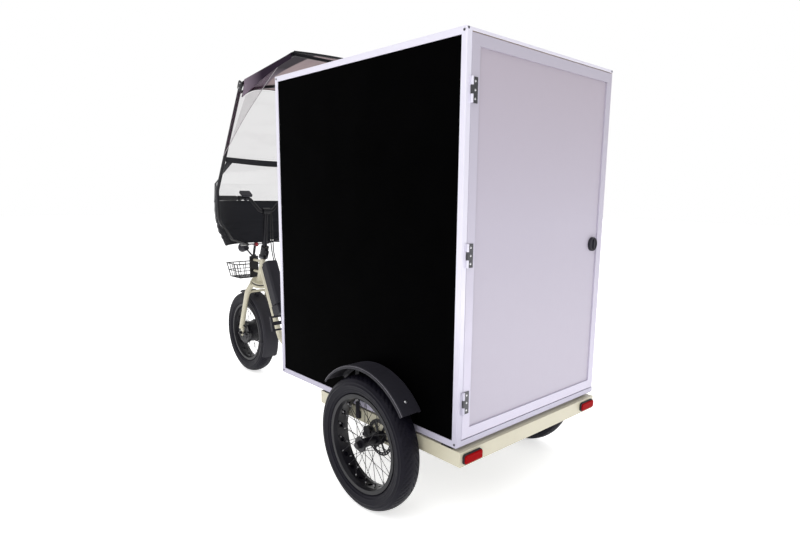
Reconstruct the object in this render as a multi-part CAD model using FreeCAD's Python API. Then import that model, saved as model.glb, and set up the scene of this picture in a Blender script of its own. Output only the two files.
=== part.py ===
"""Cargo tricycle: a front hub-motor tricycle with a closed rear cargo box and a rider canopy.

Millimetres, +X forward, +Y to the rider's left, +Z up. The pieces are laid out from the rear axle line
(X = 0) and the ground (Z = 0), then moved so that the origin is under the middle of the tricycle.
"""
import FreeCAD, Part
import math
import os

# Fits shared by all pieces
RUN_FIT = 0.05
GAP = 0.3
OVERRUN = 5.0

# Layout
WHEELBASE = 2101.0
TRACK = 1082.0
REAR_TYRE_RADIUS = 287.5
FRONT_TYRE_RADIUS = 296.0
HEAD_ANGLE = 68.5
FORK_OFFSET = 0.0

# Tyres and rims, the same section front and rear
TYRE_WIDTH = 102.0
TYRE_SHOULDER_DROP = 11.0
TYRE_SHOULDER_HALF = 43.0
TYRE_TREAD = 9.0
TYRE_SIDEWALL = 5.5
BEAD_WIDTH = 8.0
RIM_SEAT_RADIUS = 200.0
RIM_FLANGE = 12.0
RIM_WIDTH = 80.0
RIM_WALL = 4.0
RIM_SHELF = 8.0
RIM_WELL = 6.0
RIM_WINDOW_RADIUS = 11.0
RIM_WINDOWS = 18

# Spokes
SPOKES_PER_ROW = 9
SPOKE_RADIUS = 1.2
SPOKE_ROW_STEP = 3.2
SPOKE_RIM_OFFSET = 16.0
NIPPLE_RADIUS = 2.4
NIPPLE_LENGTH = 13.0
TRAILING_PHASE_SHARE = 0.25
LEADING_PHASE_SHARE = 0.75
SIDE_PHASE_SHARE = 0.25
WINDOW_PHASE_SHARE = 0.25
REAR_CROSS_ANGLE = 62.0
FRONT_CROSS_ANGLE = 24.0
SPOKE_GAP = 0.25

# Rear hubs, measured from the wheel's middle plane, outboard positive
AXLE_RADIUS = 10.0
HUB_FLANGE_FACE = 38.0
HUB_FLANGE_THICKNESS = 5.0
HUB_FLANGE_RADIUS = 33.0
HUB_HOLE_CIRCLE = 29.0
HUB_BARREL_RADIUS = 20.0
HUB_END_RADIUS = 17.0
HUB_END = 52.0
DISC_SEAT_RADIUS = 22.0
DISC_FACE = 64.5
AXLE_NUT_RADIUS = 14.0
AXLE_NUT_LENGTH = 11.0
AXLE_NUT_CHAMFER = 2.5

# Brake discs and calipers
DISC_RADIUS = 80.0
DISC_BAND = 16.0
DISC_THICKNESS = 2.0
DISC_CENTRE_RADIUS = 31.0
DISC_ARM_WIDTH = 11.0
DISC_ARMS = 6
DISC_HOLE_RADIUS = 3.2
DISC_HOLES = 24
CALIPER_WIDTH = 24.0
CALIPER_LENGTH = 44.0
CALIPER_HEIGHT = 46.0
CALIPER_SLOT = 4.0
CALIPER_FILLET = 5.0
CALIPER_ARM_LENGTH = 34.0
CALIPER_ARM_WIDTH = 13.0
CALIPER_ARM_THICKNESS = 5.0

# Front hub motor
MOTOR_RADIUS = 75.0
MOTOR_HALF_WIDTH = 40.0
MOTOR_FLANGE_RADIUS = 84.0
MOTOR_FLANGE_THICKNESS = 5.0
MOTOR_HOLE_CIRCLE = 80.0
MOTOR_CAP_RADIUS = 52.0
MOTOR_CAP_DEPTH = 8.0
MOTOR_DISC_FACE = 54.0
MOTOR_CHAMFER = 7.0
FRONT_AXLE_RADIUS = 7.0
FRONT_AXLE_REACH = 96.0
FRONT_NUT_RADIUS = 14.0
FRONT_NUT_LENGTH = 10.0

# Chassis: rectangular beams under the cargo box
BEAM_BOTTOM = 317.0
BEAM_HEIGHT = 60.0
BEAM_WIDTH = 40.0
BEAM_WALL = 3.0
BEAM_HALF = 470.0
BEAM_OVERHANG = 12.5
BEAM_FRONT = 455.0
MID_BEAM_X = -190.0
CHAIN_WINDOW_WIDTH = 26.0
CHAIN_WINDOW_HEIGHT = 40.0
HANGER_FACE = 456.0
HANGER_THICKNESS = 10.0
HANGER_REAR = 60.0
HANGER_FRONT = 92.0
HANGER_DROP = 62.0
HANGER_CHAMFER = 26.0
BEARING_RADIUS = 22.0
BEARING_PROUD = 6.0

# Cargo box
BOX_FRONT = 804.0
BOX_LENGTH = 1255.0
BOX_WIDTH = 956.0
BOX_BOTTOM = 391.0
BOX_HEIGHT = 1484.0
BAR = 25.0
BAR_ROUND = 5.0
PANEL_THICKNESS = 10.0
PANEL_RECESS = 3.0
GUSSET_LEG = 34.0
GUSSET_THICKNESS = 9.0
PAD_LENGTH = 52.0
PAD_WIDTH = 26.0
PAD_PLACE_SHARES = (0.08, 0.505, 0.94)
SCREW_RADIUS = 4.5
SCREW_HEAD = 1.6
SCREW_SOCKET_RADIUS = 2.4
SCREW_SOCKET_DEPTH = 1.0

# Rear door with its hinges and latch
DOOR_GAP = 1.5
DOOR_HEADER = 13.0
DOOR_BAR = 42.0
DOOR_PANEL_THICKNESS = 8.0
DOOR_PANEL_RECESS = 6.0
DOOR_ROUND = 4.0
KNUCKLE_RADIUS = 5.0
HINGE_PIN_RADIUS = 2.5
HINGE_HEIGHT = 86.0
HINGE_LEAF = 2.4
HINGE_FIXED_WIDTH = 9.0
HINGE_DOOR_WIDTH = 27.0
HINGE_PLACE_SHARES = (0.115, 0.4845, 0.865)
HINGE_SCREW_RADIUS = 3.4
HINGE_SCREW_HEAD = 1.2
HINGE_SCREW_INSET = 14.0
LATCH_Y = -399.0
LATCH_Z = 1111.0
LATCH_BEZEL_RADIUS = 31.0
LATCH_BEZEL_PROUD = 7.0
LATCH_POCKET_RADIUS = 24.0
LATCH_POCKET_DEPTH = 5.0
LATCH_BARREL_RADIUS = 13.0
LATCH_SHAFT_RADIUS = 6.0
LATCH_GRIP_WIDTH = 9.0
LATCH_GRIP_PROUD = 3.0
LATCH_CAM_LENGTH = 62.0
LATCH_CAM_WIDTH = 18.0
LATCH_CAM_THICKNESS = 4.0

# Tail lights on the rear beam
LAMP_WIDTH = 104.0
LAMP_HEIGHT = 40.0
LAMP_HOUSING_DEPTH = 9.0
LAMP_LENS_DEPTH = 6.0
LAMP_RIM = 3.5
LAMP_ROUND = 11.0
LAMP_LENS_EDGE = 2.5
LAMP_END_MARGIN = 12.0

# Rear fenders
FENDER_RADIUS = 332.5
FENDER_SHEET = 2.5
FENDER_OUTER_EDGE = 588.0
FENDER_INNER_EDGE = 482.3
FENDER_OUTER_LIP = 11.0
FENDER_INNER_LIP = 20.0
FENDER_SHOULDER = 7.0
FENDER_FRONT_ANGLE = 41.0
FENDER_REAR_ANGLE = 143.0
STAY_THICKNESS = 3.0
STAY_WIDTH = 26.0
STAY_PLACE_X = 150.0
STAY_FOOT_HEIGHT = 30.0
FENDER_BOLT_RADIUS = 6.0
FENDER_BOLT_HEAD = 3.0
FENDER_BOLT_Y = 538.0
FENDER_BOLT_ANGLE = 134.0

# Front frame
HEAD_TUBE_BOTTOM = 425.0
HEAD_TUBE_TOP = 616.0
HEAD_TUBE_RADIUS = 19.0
HEAD_TUBE_FLARE = 28.0
HEAD_TUBE_FLARE_LENGTH = 30.0
HEAD_TUBE_BORE = 16.0
STEERER_RADIUS = 14.3
UPPER_CUP_RADIUS = 32.0
LOWER_CUP_RADIUS = 53.0
LOWER_RING_RADIUS = 56.0
LOWER_RING_THICKNESS = 6.0
CROWN_TOP = 414.5
MAIN_TUBE_RADIUS = 20.0
DOWN_TUBE_TOP_BACK = 201.0
DOWN_TUBE_TOP_Z = 799.0
DOWN_TUBE_FOOT_BACK = 448.0
DOWN_TUBE_FOOT_Z = 300.0
MAIN_TUBE_LOW_X = 900.0
FRAME_BEND = 110.0
FRAME_FLANGE_THICKNESS = 8.0
FRAME_FLANGE_WIDTH = 110.0
FRAME_FLANGE_HEIGHT = 56.0
FRAME_BOLT_RADIUS = 5.0
FRAME_BOLT_HEAD_RADIUS = 8.0
FRAME_BOLT_HEAD = 6.0
FRAME_BOLT_SPREAD = 80.0
SEAT_TUBE_BACK = 806.0
SEAT_ANGLE = 64.0
SEAT_TUBE_LENGTH = 380.0
SEAT_TUBE_RADIUS = 17.5
SEAT_BORE_DEPTH = 330.0
SEAT_BRACE_RADIUS = 11.0
SEAT_BRACE_HEIGHT = 210.0
SEAT_BRACE_FOOT = 170.0
BOSS_RADIUS = 9.0
BOSS_LOW = 500.0
BOSS_HIGH = 585.0

# Seat clamp, seatpost and saddle
SEATPOST_RADIUS = 13.6
SEATPOST_LENGTH = 690.0
SEATPOST_FOOT = 115.0
SEAT_CLAMP_WALL = 5.0
SEAT_CLAMP_HEIGHT = 20.0
SEAT_CLAMP_EAR = 13.0
SADDLE_BASE = 942.0
SADDLE_MIDDLE_BACK = 1091.0
SADDLE_NOSE = 190.0
SADDLE_TAIL = 115.0
SADDLE_HALF_WIDTH = 118.0
SADDLE_CROWN = 72.0
SADDLE_SKIRT = 22.0
SADDLE_UNDER_SHARE = 0.8
SADDLE_RAIL_RADIUS = 3.5
SADDLE_RAIL_SPREAD = 22.0
SADDLE_RAIL_DROP = 26.0
POST_HEAD_LENGTH = 40.0
POST_HEAD_HEIGHT = 20.0

# Battery on the down tube
BATTERY_START = 8.0
BATTERY_LENGTH = 305.0
BATTERY_DEPTH = 140.0
BATTERY_RAIL = 22.0
BATTERY_SHOULDER = 76.0
BATTERY_WIDTH = 90.0
BATTERY_NECK_WIDTH = 24.0
BATTERY_ROUND = 20.0
BATTERY_TOP_ROUND = 9.0
DOCK_LENGTH = 70.0
DOCK_DEPTH = 90.0
DOCK_WIDTH = 60.0
DOCK_ROUND = 8.0

# Pedal drive
CRANK_BACK = 721.0
CRANK_Z = 335.0
BRACKET_RADIUS = 23.0
BRACKET_HALF = 37.0
BRACKET_BORE = 17.0
SPINDLE_RADIUS = 8.0
CRANK_LENGTH = 170.0
CRANK_LIFT_ANGLE = 67.0
CRANK_ARM_FACE = 78.0
CRANK_ARM_THICKNESS = 14.0
CRANK_ARM_WIDTH = 24.0
PEDAL_PIN_RADIUS = 6.0
PEDAL_LENGTH = 96.0
PEDAL_WIDTH = 92.0
PEDAL_HEIGHT = 22.0
PEDAL_WALL = 12.0
PEDAL_START = 5.0
PEDAL_TILT = 75.0
CHAIN_PITCH = 12.7
CHAIN_LINE = -62.0
CHAIN_PLATE_START = 2.8
CHAIN_PLATE_END = 3.9
CHAIN_HALF_HEIGHT = 4.5
RING_TEETH = 36
SPROCKET_TEETH = 18
RING_HALF_THICKNESS = 2.5
TOOTH_HEIGHT = 4.0
SPIDER_WIDTH = 18.0
SPIDER_ARMS = 5
SPROCKET_HUB_RADIUS = 18.0
SPROCKET_HUB_HALF = 12.0

# Fork, along the steering axis from the front axle
FORK_LEG_Y = 80.0
FORK_LEG_RADIUS = 18.0
FORK_LEG_BOTTOM = 42.0
FORK_SHOULDER = 350.0
FORK_CROWN_LOW = 406.0
FORK_CROWN_Y = 54.0
FORK_BEND = 40.0
CROWN_RADIUS = 62.0
CROWN_BOTTOM = 398.0
ARCH_FOOT = 300.0
ARCH_TOP = 346.0
ARCH_HALF = 62.0
ARCH_RADIUS = 9.0
ARCH_BEND = 30.0
DROPOUT_FACE = 67.5
DROPOUT_THICKNESS = 9.0
DROPOUT_WIDTH = 34.0
DROPOUT_BELOW = 20.0
DROPOUT_TOP = 74.0
FRONT_CALIPER_LIFT = 30.0

# Front fender, angles about the front axle from straight ahead
FRONT_FENDER_RADIUS = 312.0
FRONT_FENDER_HALF = 57.0
FRONT_FENDER_LIP = 14.0
FRONT_FENDER_SHOULDER = 14.0
FRONT_FENDER_START = 84.0
FRONT_FENDER_END = 206.0
FRONT_FENDER_STAY_ANGLE = 186.0
FENDER_STAY_RADIUS = 3.0
FENDER_TAB_LENGTH = 30.0
FENDER_TAB_WIDTH = 24.0

# Stem and handlebar
STEM_BOTTOM = 632.5
STEM_COLLAR_RADIUS = 27.0
STEM_COLLAR_TOP = 702.0
STEM_MAST_RADIUS = 15.0
STEM_MAST_START = 690.0
STEM_BOLT_RADIUS = 4.0
STEM_EAR = 17.0
STEM_EAR_THICKNESS = 22.0
BAR_CLAMP_BACK = 286.0
BAR_CLAMP_Z = 1195.0
BAR_CLAMP_RADIUS = 21.0
BAR_CLAMP_HALF = 26.0
BAR_RADIUS = 11.1
BAR_CENTRE_HALF = 45.0
BAR_RISER_Y = 125.0
BAR_RISER_SWEEP = 8.0
BAR_RISE = 87.0
BAR_SWEEP = 42.0
BAR_HALF_WIDTH = 342.0
BAR_BEND = 42.0
GRIP_START = 226.0
GRIP_RADIUS = 16.0
GRIP_END_CAP = 4.0
PERCH_START = 192.0
PERCH_WIDTH = 18.0
PERCH_RADIUS = 16.0
LEVER_PIVOT_FORWARD = 40.0
LEVER_BARREL_RADIUS = 8.0
LEVER_BARREL_HALF = 7.0
LEVER_PIN_RADIUS = 3.0
LEVER_PLATE = 3.5
LEVER_BLADE_RADIUS = 5.0
LEVER_REACH_FORWARD = 58.0
LEVER_TIP_Y = 318.0
LEVER_ELBOW_Y = 232.0
LEVER_BALL_RADIUS = 7.5
THROTTLE_START = 210.6
THROTTLE_WIDTH = 11.0
THROTTLE_RADIUS = 17.5
THROTTLE_PADDLE = 26.0
THROTTLE_PADDLE_THICKNESS = 6.0
DISPLAY_Y = 152.5
DISPLAY_WIDTH = 72.0
DISPLAY_DEPTH = 54.0
DISPLAY_THICKNESS = 15.0
DISPLAY_LIFT = 22.0
DISPLAY_TILT = -32.0
DISPLAY_ROUND = 5.0
DISPLAY_FOOT = 16.0

# Cables from the handlebar to the battery, points chosen by hand along their route, X from the front axle
CABLE_RADIUS = 3.6
CABLE_REACH_SHARE = 0.45
CABLE_ROUTES = (
    ((-286.0, -32.0, 1183.6), (-283.0, -33.0, 1130.0), (-275.0, -35.0, 1062.0), (-273.0, -36.0, 1000.0),
     (-281.0, -35.0, 945.0), (-299.0, -32.0, 894.0), (-320.9, -30.0, 849.9)),
    ((-286.0, -41.0, 1185.0), (-289.0, -43.0, 1130.0), (-287.0, -46.0, 1062.0), (-287.0, -46.0, 1000.0),
     (-295.0, -42.0, 948.0), (-311.5, -37.0, 898.0), (-332.6, -36.0, 855.6)),
)

# Basket with its bracket plate, and headlight
BASKET_REAR_BACK = 65.0
BASKET_LENGTH = 165.0
BASKET_HALF = 120.0
BASKET_BOTTOM = 712.0
BASKET_HEIGHT = 98.0
BASKET_FLARE = 18.0
BASKET_WIRE_RADIUS = 2.4
BASKET_WIRE_STEP_SHARE = 0.8
BASKET_RIM_RADIUS = 3.8
BASKET_WIRES_ACROSS = 6
BASKET_WIRES_LONG = 5
BASKET_HOOPS = 3
PLATE_REAR_BACK = 89.0
PLATE_THICKNESS = 10.0
PLATE_HALF = 32.0
PLATE_BOTTOM = 720.0
PLATE_TOP = 868.0
BASKET_HOOK_RADIUS = 6.0
BASKET_HOOK_SPREAD = 40.0
LIGHT_AHEAD = 84.0
LIGHT_Z = 918.0
LIGHT_RADIUS = 36.0
LIGHT_LENGTH = 62.0
LIGHT_TAIL_RADIUS = 20.0
LIGHT_LENS_DEPTH = 6.0
LIGHT_ARM_RADIUS = 6.0

# Canopy clamp above the bracket plate
POST_RADIUS = 9.0
CLAMP_ROD_RADIUS = 7.0
CLAMP_ROD_HALF = 112.0
CLAMP_ROD_Z = 955.0
CLAMP_ROD_BACK = 111.0
KNOB_RADIUS = 15.0
KNOB_LENGTH = 20.0

# Canopy tubes, left side
TUBE_RADIUS = 10.0
TUBE_BEND = 70.0
STRUT_OUT_BACK = 221.0
STRUT_OUT_Y = 226.0
STRUT_OUT_Z = 1012.0
SIDE_LOW_BACK = 411.0
SIDE_LOW_Y = 392.0
SIDE_LOW_Z = 1140.0
SIDE_MID_BACK = 429.0
SIDE_MID_Y = 404.0
SIDE_MID_Z = 1326.0
SIDE_TOP_BACK = 776.0
SIDE_TOP_Y = 396.0
SIDE_TOP_Z = 1915.0
RAIL_REAR_BACK = 1256.0
RAIL_REAR_Y = 345.0
SIDE_WINDOW_REAR_BACK = 1186.0
CROSS_TUBE_RADIUS = 8.0

# Leg cover and clear hood: plan arcs around the handlebar, by height
COVER_SWEEP_ANGLE = 80.0
COVER_FOLD_DEPTH = 7.0
COVER_FOLD_SHARES = (0.22, 0.36, 0.52, 0.70)
COVER_WALL = 5.0
FILM = 2.5
HEM_Z = 965.0
HEM_BACK = 356.0
HEM_RADIUS = 300.0
BULGE_Z = 1180.0
BULGE_BACK = 399.0
BULGE_RADIUS = 381.0
COVER_TOP_Z = 1258.0
COVER_TOP_BACK = 397.0
COVER_TOP_RADIUS = 379.0
HOOD_Z = 1372.0
HOOD_BACK = 411.0
HOOD_RADIUS = 378.0
BAND_BOTTOM = 1496.0
BAND_TOP = 1528.0
BAND_BULGE = 96.0
SCREEN_TOP_BACK = 735.0
SCREEN_TOP_Z = 1848.0
SCREEN_TOP_HALF = 352.0
SCREEN_TOP_BULGE = 20.0
SCREEN_TOP_RISE = 56.0

# Roof sections from the front lip to the rear edge
ROOF_SHEET = 3.0
FLAP_FRONT_DROP = 84.0
FLAP_REAR_DROP = 22.0
FLAP_LEAN_SHARE = 0.094
ROOF_LIP_REACH = 44.0
ROOF_LIP_HALF = 360.0
ROOF_LIP_EDGE_Z = 1858.0
ROOF_LIP_CROWN = 56.0
ROOF_BOW_HALF = 362.0
ROOF_BOW_EDGE_Z = 1896.0
ROOF_BOW_CROWN = 62.0
ROOF_SHOULDER_BACK = 861.0
ROOF_SHOULDER_HALF = 360.0
ROOF_SHOULDER_EDGE_Z = 1945.0
ROOF_SHOULDER_CROWN = 52.0
ROOF_MID_BACK = 1061.0
ROOF_MID_HALF = 353.0
ROOF_MID_EDGE_Z = 1984.0
ROOF_MID_CROWN = 40.0
ROOF_TAIL_BACK = 1267.0
ROOF_TAIL_HALF = 349.0
ROOF_TAIL_EDGE_Z = 2018.0
ROOF_TAIL_CROWN = 14.0

# Places worked out from the sizes above
BOX_REAR = BOX_FRONT - BOX_LENGTH
BEAM_REAR = BOX_REAR - BEAM_OVERHANG
DOWN_TUBE_TOP_X = WHEELBASE - DOWN_TUBE_TOP_BACK
DOWN_TUBE_FOOT_X = WHEELBASE - DOWN_TUBE_FOOT_BACK
SEAT_TUBE_X = WHEELBASE - SEAT_TUBE_BACK
SADDLE_MIDDLE_X = WHEELBASE - SADDLE_MIDDLE_BACK
CRANK_X = WHEELBASE - CRANK_BACK
BAR_CLAMP_X = WHEELBASE - BAR_CLAMP_BACK
BASKET_REAR = WHEELBASE - BASKET_REAR_BACK
PLATE_REAR = WHEELBASE - PLATE_REAR_BACK
CLAMP_ROD_X = WHEELBASE - CLAMP_ROD_BACK
STRUT_OUT_X = WHEELBASE - STRUT_OUT_BACK
SIDE_LOW_X = WHEELBASE - SIDE_LOW_BACK
SIDE_MID_X = WHEELBASE - SIDE_MID_BACK
SIDE_TOP_X = WHEELBASE - SIDE_TOP_BACK
RAIL_REAR_X = WHEELBASE - RAIL_REAR_BACK
SIDE_WINDOW_REAR_X = WHEELBASE - SIDE_WINDOW_REAR_BACK
HEM_X = WHEELBASE - HEM_BACK
BULGE_X = WHEELBASE - BULGE_BACK
COVER_TOP_X = WHEELBASE - COVER_TOP_BACK
HOOD_X = WHEELBASE - HOOD_BACK
SCREEN_TOP_X = WHEELBASE - SCREEN_TOP_BACK
ROOF_SHOULDER_X = WHEELBASE - ROOF_SHOULDER_BACK
ROOF_MID_X = WHEELBASE - ROOF_MID_BACK
ROOF_TAIL_X = WHEELBASE - ROOF_TAIL_BACK
LIGHT_X = WHEELBASE + LIGHT_AHEAD
BOX_HALF = BOX_WIDTH / 2
BOX_TOP = BOX_BOTTOM + BOX_HEIGHT
BEAM_TOP = BEAM_BOTTOM + BEAM_HEIGHT
REAR_AXLE = FreeCAD.Vector(0, 0, REAR_TYRE_RADIUS)
FRONT_AXLE = FreeCAD.Vector(WHEELBASE, 0, FRONT_TYRE_RADIUS)
CRANK = FreeCAD.Vector(CRANK_X, 0, CRANK_Z)
FORE = FreeCAD.Vector(1, 0, 0)
LEFT = FreeCAD.Vector(0, 1, 0)
UP = FreeCAD.Vector(0, 0, 1)
STEER_TURN = FreeCAD.Rotation(LEFT, HEAD_ANGLE - 90)
STEER_UP = STEER_TURN.multVec(UP)
STEER_FORE = STEER_TURN.multVec(FORE)
STEER_ORIGIN = FRONT_AXLE - STEER_FORE * FORK_OFFSET
STEERING = FreeCAD.Placement(STEER_ORIGIN, STEER_TURN)
HUB_BORE = AXLE_RADIUS + RUN_FIT
LAMP_REAR = BEAM_REAR - LAMP_HOUSING_DEPTH - LAMP_LENS_DEPTH
FRONT_END = WHEELBASE + FRONT_TYRE_RADIUS
ORIGIN_SHIFT = FreeCAD.Vector(-(FRONT_END + LAMP_REAR) / 2, 0, 0)
RING_RADIUS = CHAIN_PITCH / (2 * math.sin(math.pi / RING_TEETH))
SPROCKET_RADIUS = CHAIN_PITCH / (2 * math.sin(math.pi / SPROCKET_TEETH))
RIM_INNER = RIM_SEAT_RADIUS - RIM_WELL - RIM_WALL


def point(x, y, z):
    return FreeCAD.Vector(x, y, z)


def block(x0, x1, y0, y1, z0, z1):
    corner = point(min(x0, x1), min(y0, y1), min(z0, z1))
    return Part.makeBox(abs(x1 - x0), abs(y1 - y0), abs(z1 - z0), corner)


def rod(start, end, radius):
    along = end - start
    return Part.makeCylinder(radius, along.Length, start, along)


def across(centre, y0, y1, radius):
    """Cylinder along Y at the X and Z of centre."""
    start = point(centre.x, min(y0, y1), centre.z)
    return Part.makeCylinder(radius, abs(y1 - y0), start, LEFT)


def mirrored(shape):
    return shape.mirror(point(0, 0, 0), LEFT)


def both_sides(shape):
    return [shape, mirrored(shape)]


def fused(shapes):
    whole = shapes[0].multiFuse(shapes[1:]) if len(shapes) > 1 else shapes[0]
    return whole.removeSplitter()


def softened(shape, radius, chosen):
    """Fillet the edges whose middle point is chosen."""
    edges = [edge for edge in shape.Edges if chosen(edge.CenterOfMass)]
    return shape.makeFillet(radius, edges)


def bent_tube(points, radius, bend):
    """Round bar along straight runs joined by tangent arcs of one bend radius."""
    corners = zip(points, points[1:], points[2:])
    return arced_tube(points, radius, [bend / math.tan(half_corner(*corner)) for corner in corners])


def cable_tube(points, radius):
    """Round bar along straight runs joined by arcs as wide as the runs allow."""
    corners = zip(points, points[1:], points[2:])
    return arced_tube(points, radius, [CABLE_REACH_SHARE * min((corner - before).Length, (after - corner).Length)
                                       for before, corner, after in corners])


def half_corner(before, corner, after):
    return (before - corner).getAngle(after - corner) / 2


def arced_tube(points, radius, reaches):
    """Round bar along straight runs; each corner's arc starts and ends at its reach from the corner."""
    edges = []
    start = points[0]
    for before, corner, after, reach in zip(points, points[1:], points[2:], reaches):
        inward = (before - corner).normalize()
        outward = (after - corner).normalize()
        half = half_corner(before, corner, after)
        bend = reach * math.tan(half)
        first = corner + inward * reach
        last = corner + outward * reach
        middle = corner + (inward + outward).normalize() * (bend / math.sin(half) - bend)
        edges.append(Part.LineSegment(start, first).toShape())
        edges.append(Part.Arc(first, middle, last).toShape())
        start = last
    edges.append(Part.LineSegment(start, points[-1]).toShape())
    return piped(edges, radius, points[0], points[1] - points[0])


def piped(edges, radius, start, along):
    """Round bar along joined edges."""
    ring = Part.Wire(Part.makeCircle(radius, start, along))
    return Part.Wire(edges).makePipeShell([ring], True, False)


def turned(outline, centre, sweep=360.0):
    """Solid of revolution about the Y line through centre, from (radius, offset) points.

    An entry of two points is an arc: its middle and its end.
    """
    edges = []
    first = centre + FORE * outline[0][0] + LEFT * outline[0][1]
    last = first
    for entry in outline[1:]:
        if isinstance(entry[0], tuple):
            middle, end = [centre + FORE * r + LEFT * y for r, y in entry]
            edges.append(Part.Arc(last, middle, end).toShape())
        else:
            end = centre + FORE * entry[0] + LEFT * entry[1]
            edges.append(Part.LineSegment(last, end).toShape())
        last = end
    if (last - first).Length > RUN_FIT:
        edges.append(Part.LineSegment(last, first).toShape())
    body = Part.Face(Part.Wire(edges)).revolve(centre, LEFT * -1, sweep)
    return body if body.Volume > 0 else body.reversed()


def around_axle(shape, centre, angle):
    """Turn from straight ahead towards straight up, about the axle line."""
    copy = shape.copy()
    copy.rotate(centre, LEFT * -1, angle)
    return copy


def in_steering(shape):
    copy = shape.copy()
    copy.Placement = STEERING.multiply(copy.Placement)
    return copy


def steering_point(ahead, y, along):
    return STEER_ORIGIN + STEER_FORE * ahead + LEFT * y + STEER_UP * along


def ring_points(radius, teeth_height, teeth):
    """Outline of a toothed disc in X and Z, four points to a tooth."""
    points = []
    quarter = 2 * math.pi / teeth / 4
    for index in range(4 * teeth):
        reach = radius + (teeth_height if index % 4 in (1, 2) else 0)
        points.append((reach * math.cos(index * quarter), reach * math.sin(index * quarter)))
    return points


def toothed_disc(centre, radius, teeth_height, teeth, y0, y1):
    corners = [point(centre.x + x, y0, centre.z + z) for x, z in ring_points(radius, teeth_height, teeth)]
    face = Part.Face(Part.makePolygon(corners + corners[:1]))
    return face.extrude(LEFT * (y1 - y0))


NODES = {}


def keep(name, shapes):
    NODES[name] = shapes


# Wheels

def tyre(radius, centre):
    seat = RIM_SEAT_RADIUS + GAP
    side = RIM_WIDTH / 2 - RIM_WALL - GAP
    over = RIM_SEAT_RADIUS + RIM_FLANGE + GAP
    shoulder = radius - TYRE_SHOULDER_DROP
    belly = (over + shoulder) / 2
    inner_shoulder = shoulder - TYRE_TREAD / 2
    inner_half = TYRE_SHOULDER_HALF - TYRE_SIDEWALL
    inner_side = side - BEAD_WIDTH
    wall = TYRE_WIDTH / 2
    outline = [
        (seat, side),
        (over, side),
        ((belly, wall), (shoulder, TYRE_SHOULDER_HALF)),
        ((radius, 0), (shoulder, -TYRE_SHOULDER_HALF)),
        ((belly, -wall), (over, -side)),
        (seat, -side),
        (seat, -inner_side),
        (over, -inner_side),
        ((belly, -wall + TYRE_SIDEWALL), (inner_shoulder, -inner_half)),
        ((radius - TYRE_TREAD, 0), (inner_shoulder, inner_half)),
        ((belly, wall - TYRE_SIDEWALL), (over, inner_side)),
        (seat, inner_side),
    ]
    return turned(outline, centre)


def rim(centre):
    half = RIM_WIDTH / 2
    shelf = half - RIM_WALL - RIM_SHELF
    well = shelf - RIM_WELL
    top = RIM_SEAT_RADIUS + RIM_FLANGE
    outer = [
        (top, half),
        (top, half - RIM_WALL),
        (RIM_SEAT_RADIUS, half - RIM_WALL),
        (RIM_SEAT_RADIUS, shelf),
        (RIM_SEAT_RADIUS - RIM_WELL, well),
    ]
    inner = [(RIM_SEAT_RADIUS - RIM_WALL, half), (RIM_INNER, well)]
    outline = outer + [(r, -y) for r, y in reversed(outer)]
    outline += [(r, -y) for r, y in inner] + list(reversed(inner))
    body = turned(outline, centre)
    window = Part.makeCylinder(RIM_WINDOW_RADIUS, RIM_WELL + RIM_WALL + OVERRUN,
                               centre + FORE * (RIM_INNER - OVERRUN), FORE)
    step = 360.0 / RIM_WINDOWS
    windows = [around_axle(window, centre, (index + WINDOW_PHASE_SHARE) * step) for index in range(RIM_WINDOWS)]
    return body.cut(Part.makeCompound(windows))


def spokes(centre, hole_circle, flange_face, cross_angle):
    """Crossed spokes in four rows; each ends in a nipple just inside the rim."""
    made = []
    step = 360.0 / SPOKES_PER_ROW
    rim_end = RIM_INNER - SPOKE_GAP
    for side in (1, -1):
        for lean in (1, -1):
            inset = SPOKE_RADIUS + SPOKE_GAP + (SPOKE_ROW_STEP if lean < 0 else 0)
            hub_y = side * (flange_face - inset)
            rim_y = side * (SPOKE_RIM_OFFSET - inset)
            row_share = TRAILING_PHASE_SHARE if lean > 0 else LEADING_PHASE_SHARE
            phase = step * (row_share + (SIDE_PHASE_SHARE if side < 0 else 0))
            hub_end = around_axle(Part.Vertex(centre + FORE * hole_circle), centre, lean * cross_angle)
            inner = hub_end.Point + LEFT * hub_y
            outer = centre + FORE * rim_end + LEFT * rim_y
            along = (outer - inner).normalize()
            spoke = rod(inner, outer, SPOKE_RADIUS)
            nipple = rod(outer - along * NIPPLE_LENGTH, outer, NIPPLE_RADIUS)
            single = fused([spoke, nipple])
            made += [around_axle(single, centre, phase + index * step) for index in range(SPOKES_PER_ROW)]
    return made


def brake_disc(centre, y0, bore):
    """Disc from y0 to y0 plus its thickness, with a drilled band on arms."""
    y1 = y0 + DISC_THICKNESS
    band = across(centre, y0, y1, DISC_RADIUS).cut(across(centre, y0, y1, DISC_RADIUS - DISC_BAND))
    middle = across(centre, y0, y1, DISC_CENTRE_RADIUS)
    reach = DISC_RADIUS - DISC_BAND / 2
    arm = block(centre.x, centre.x + reach, y0, y1,
                centre.z - DISC_ARM_WIDTH / 2, centre.z + DISC_ARM_WIDTH / 2)
    arms = [around_axle(arm, centre, index * 360.0 / DISC_ARMS) for index in range(DISC_ARMS)]
    hole = across(centre + FORE * reach, y0 - OVERRUN, y1 + OVERRUN, DISC_HOLE_RADIUS)
    holes = [around_axle(hole, centre, (index + 0.5) * 360.0 / DISC_HOLES) for index in range(DISC_HOLES)]
    bore_cut = across(centre, y0 - OVERRUN, y1 + OVERRUN, bore)
    return fused([band, middle] + arms).cut(Part.makeCompound(holes + [bore_cut]))


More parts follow.
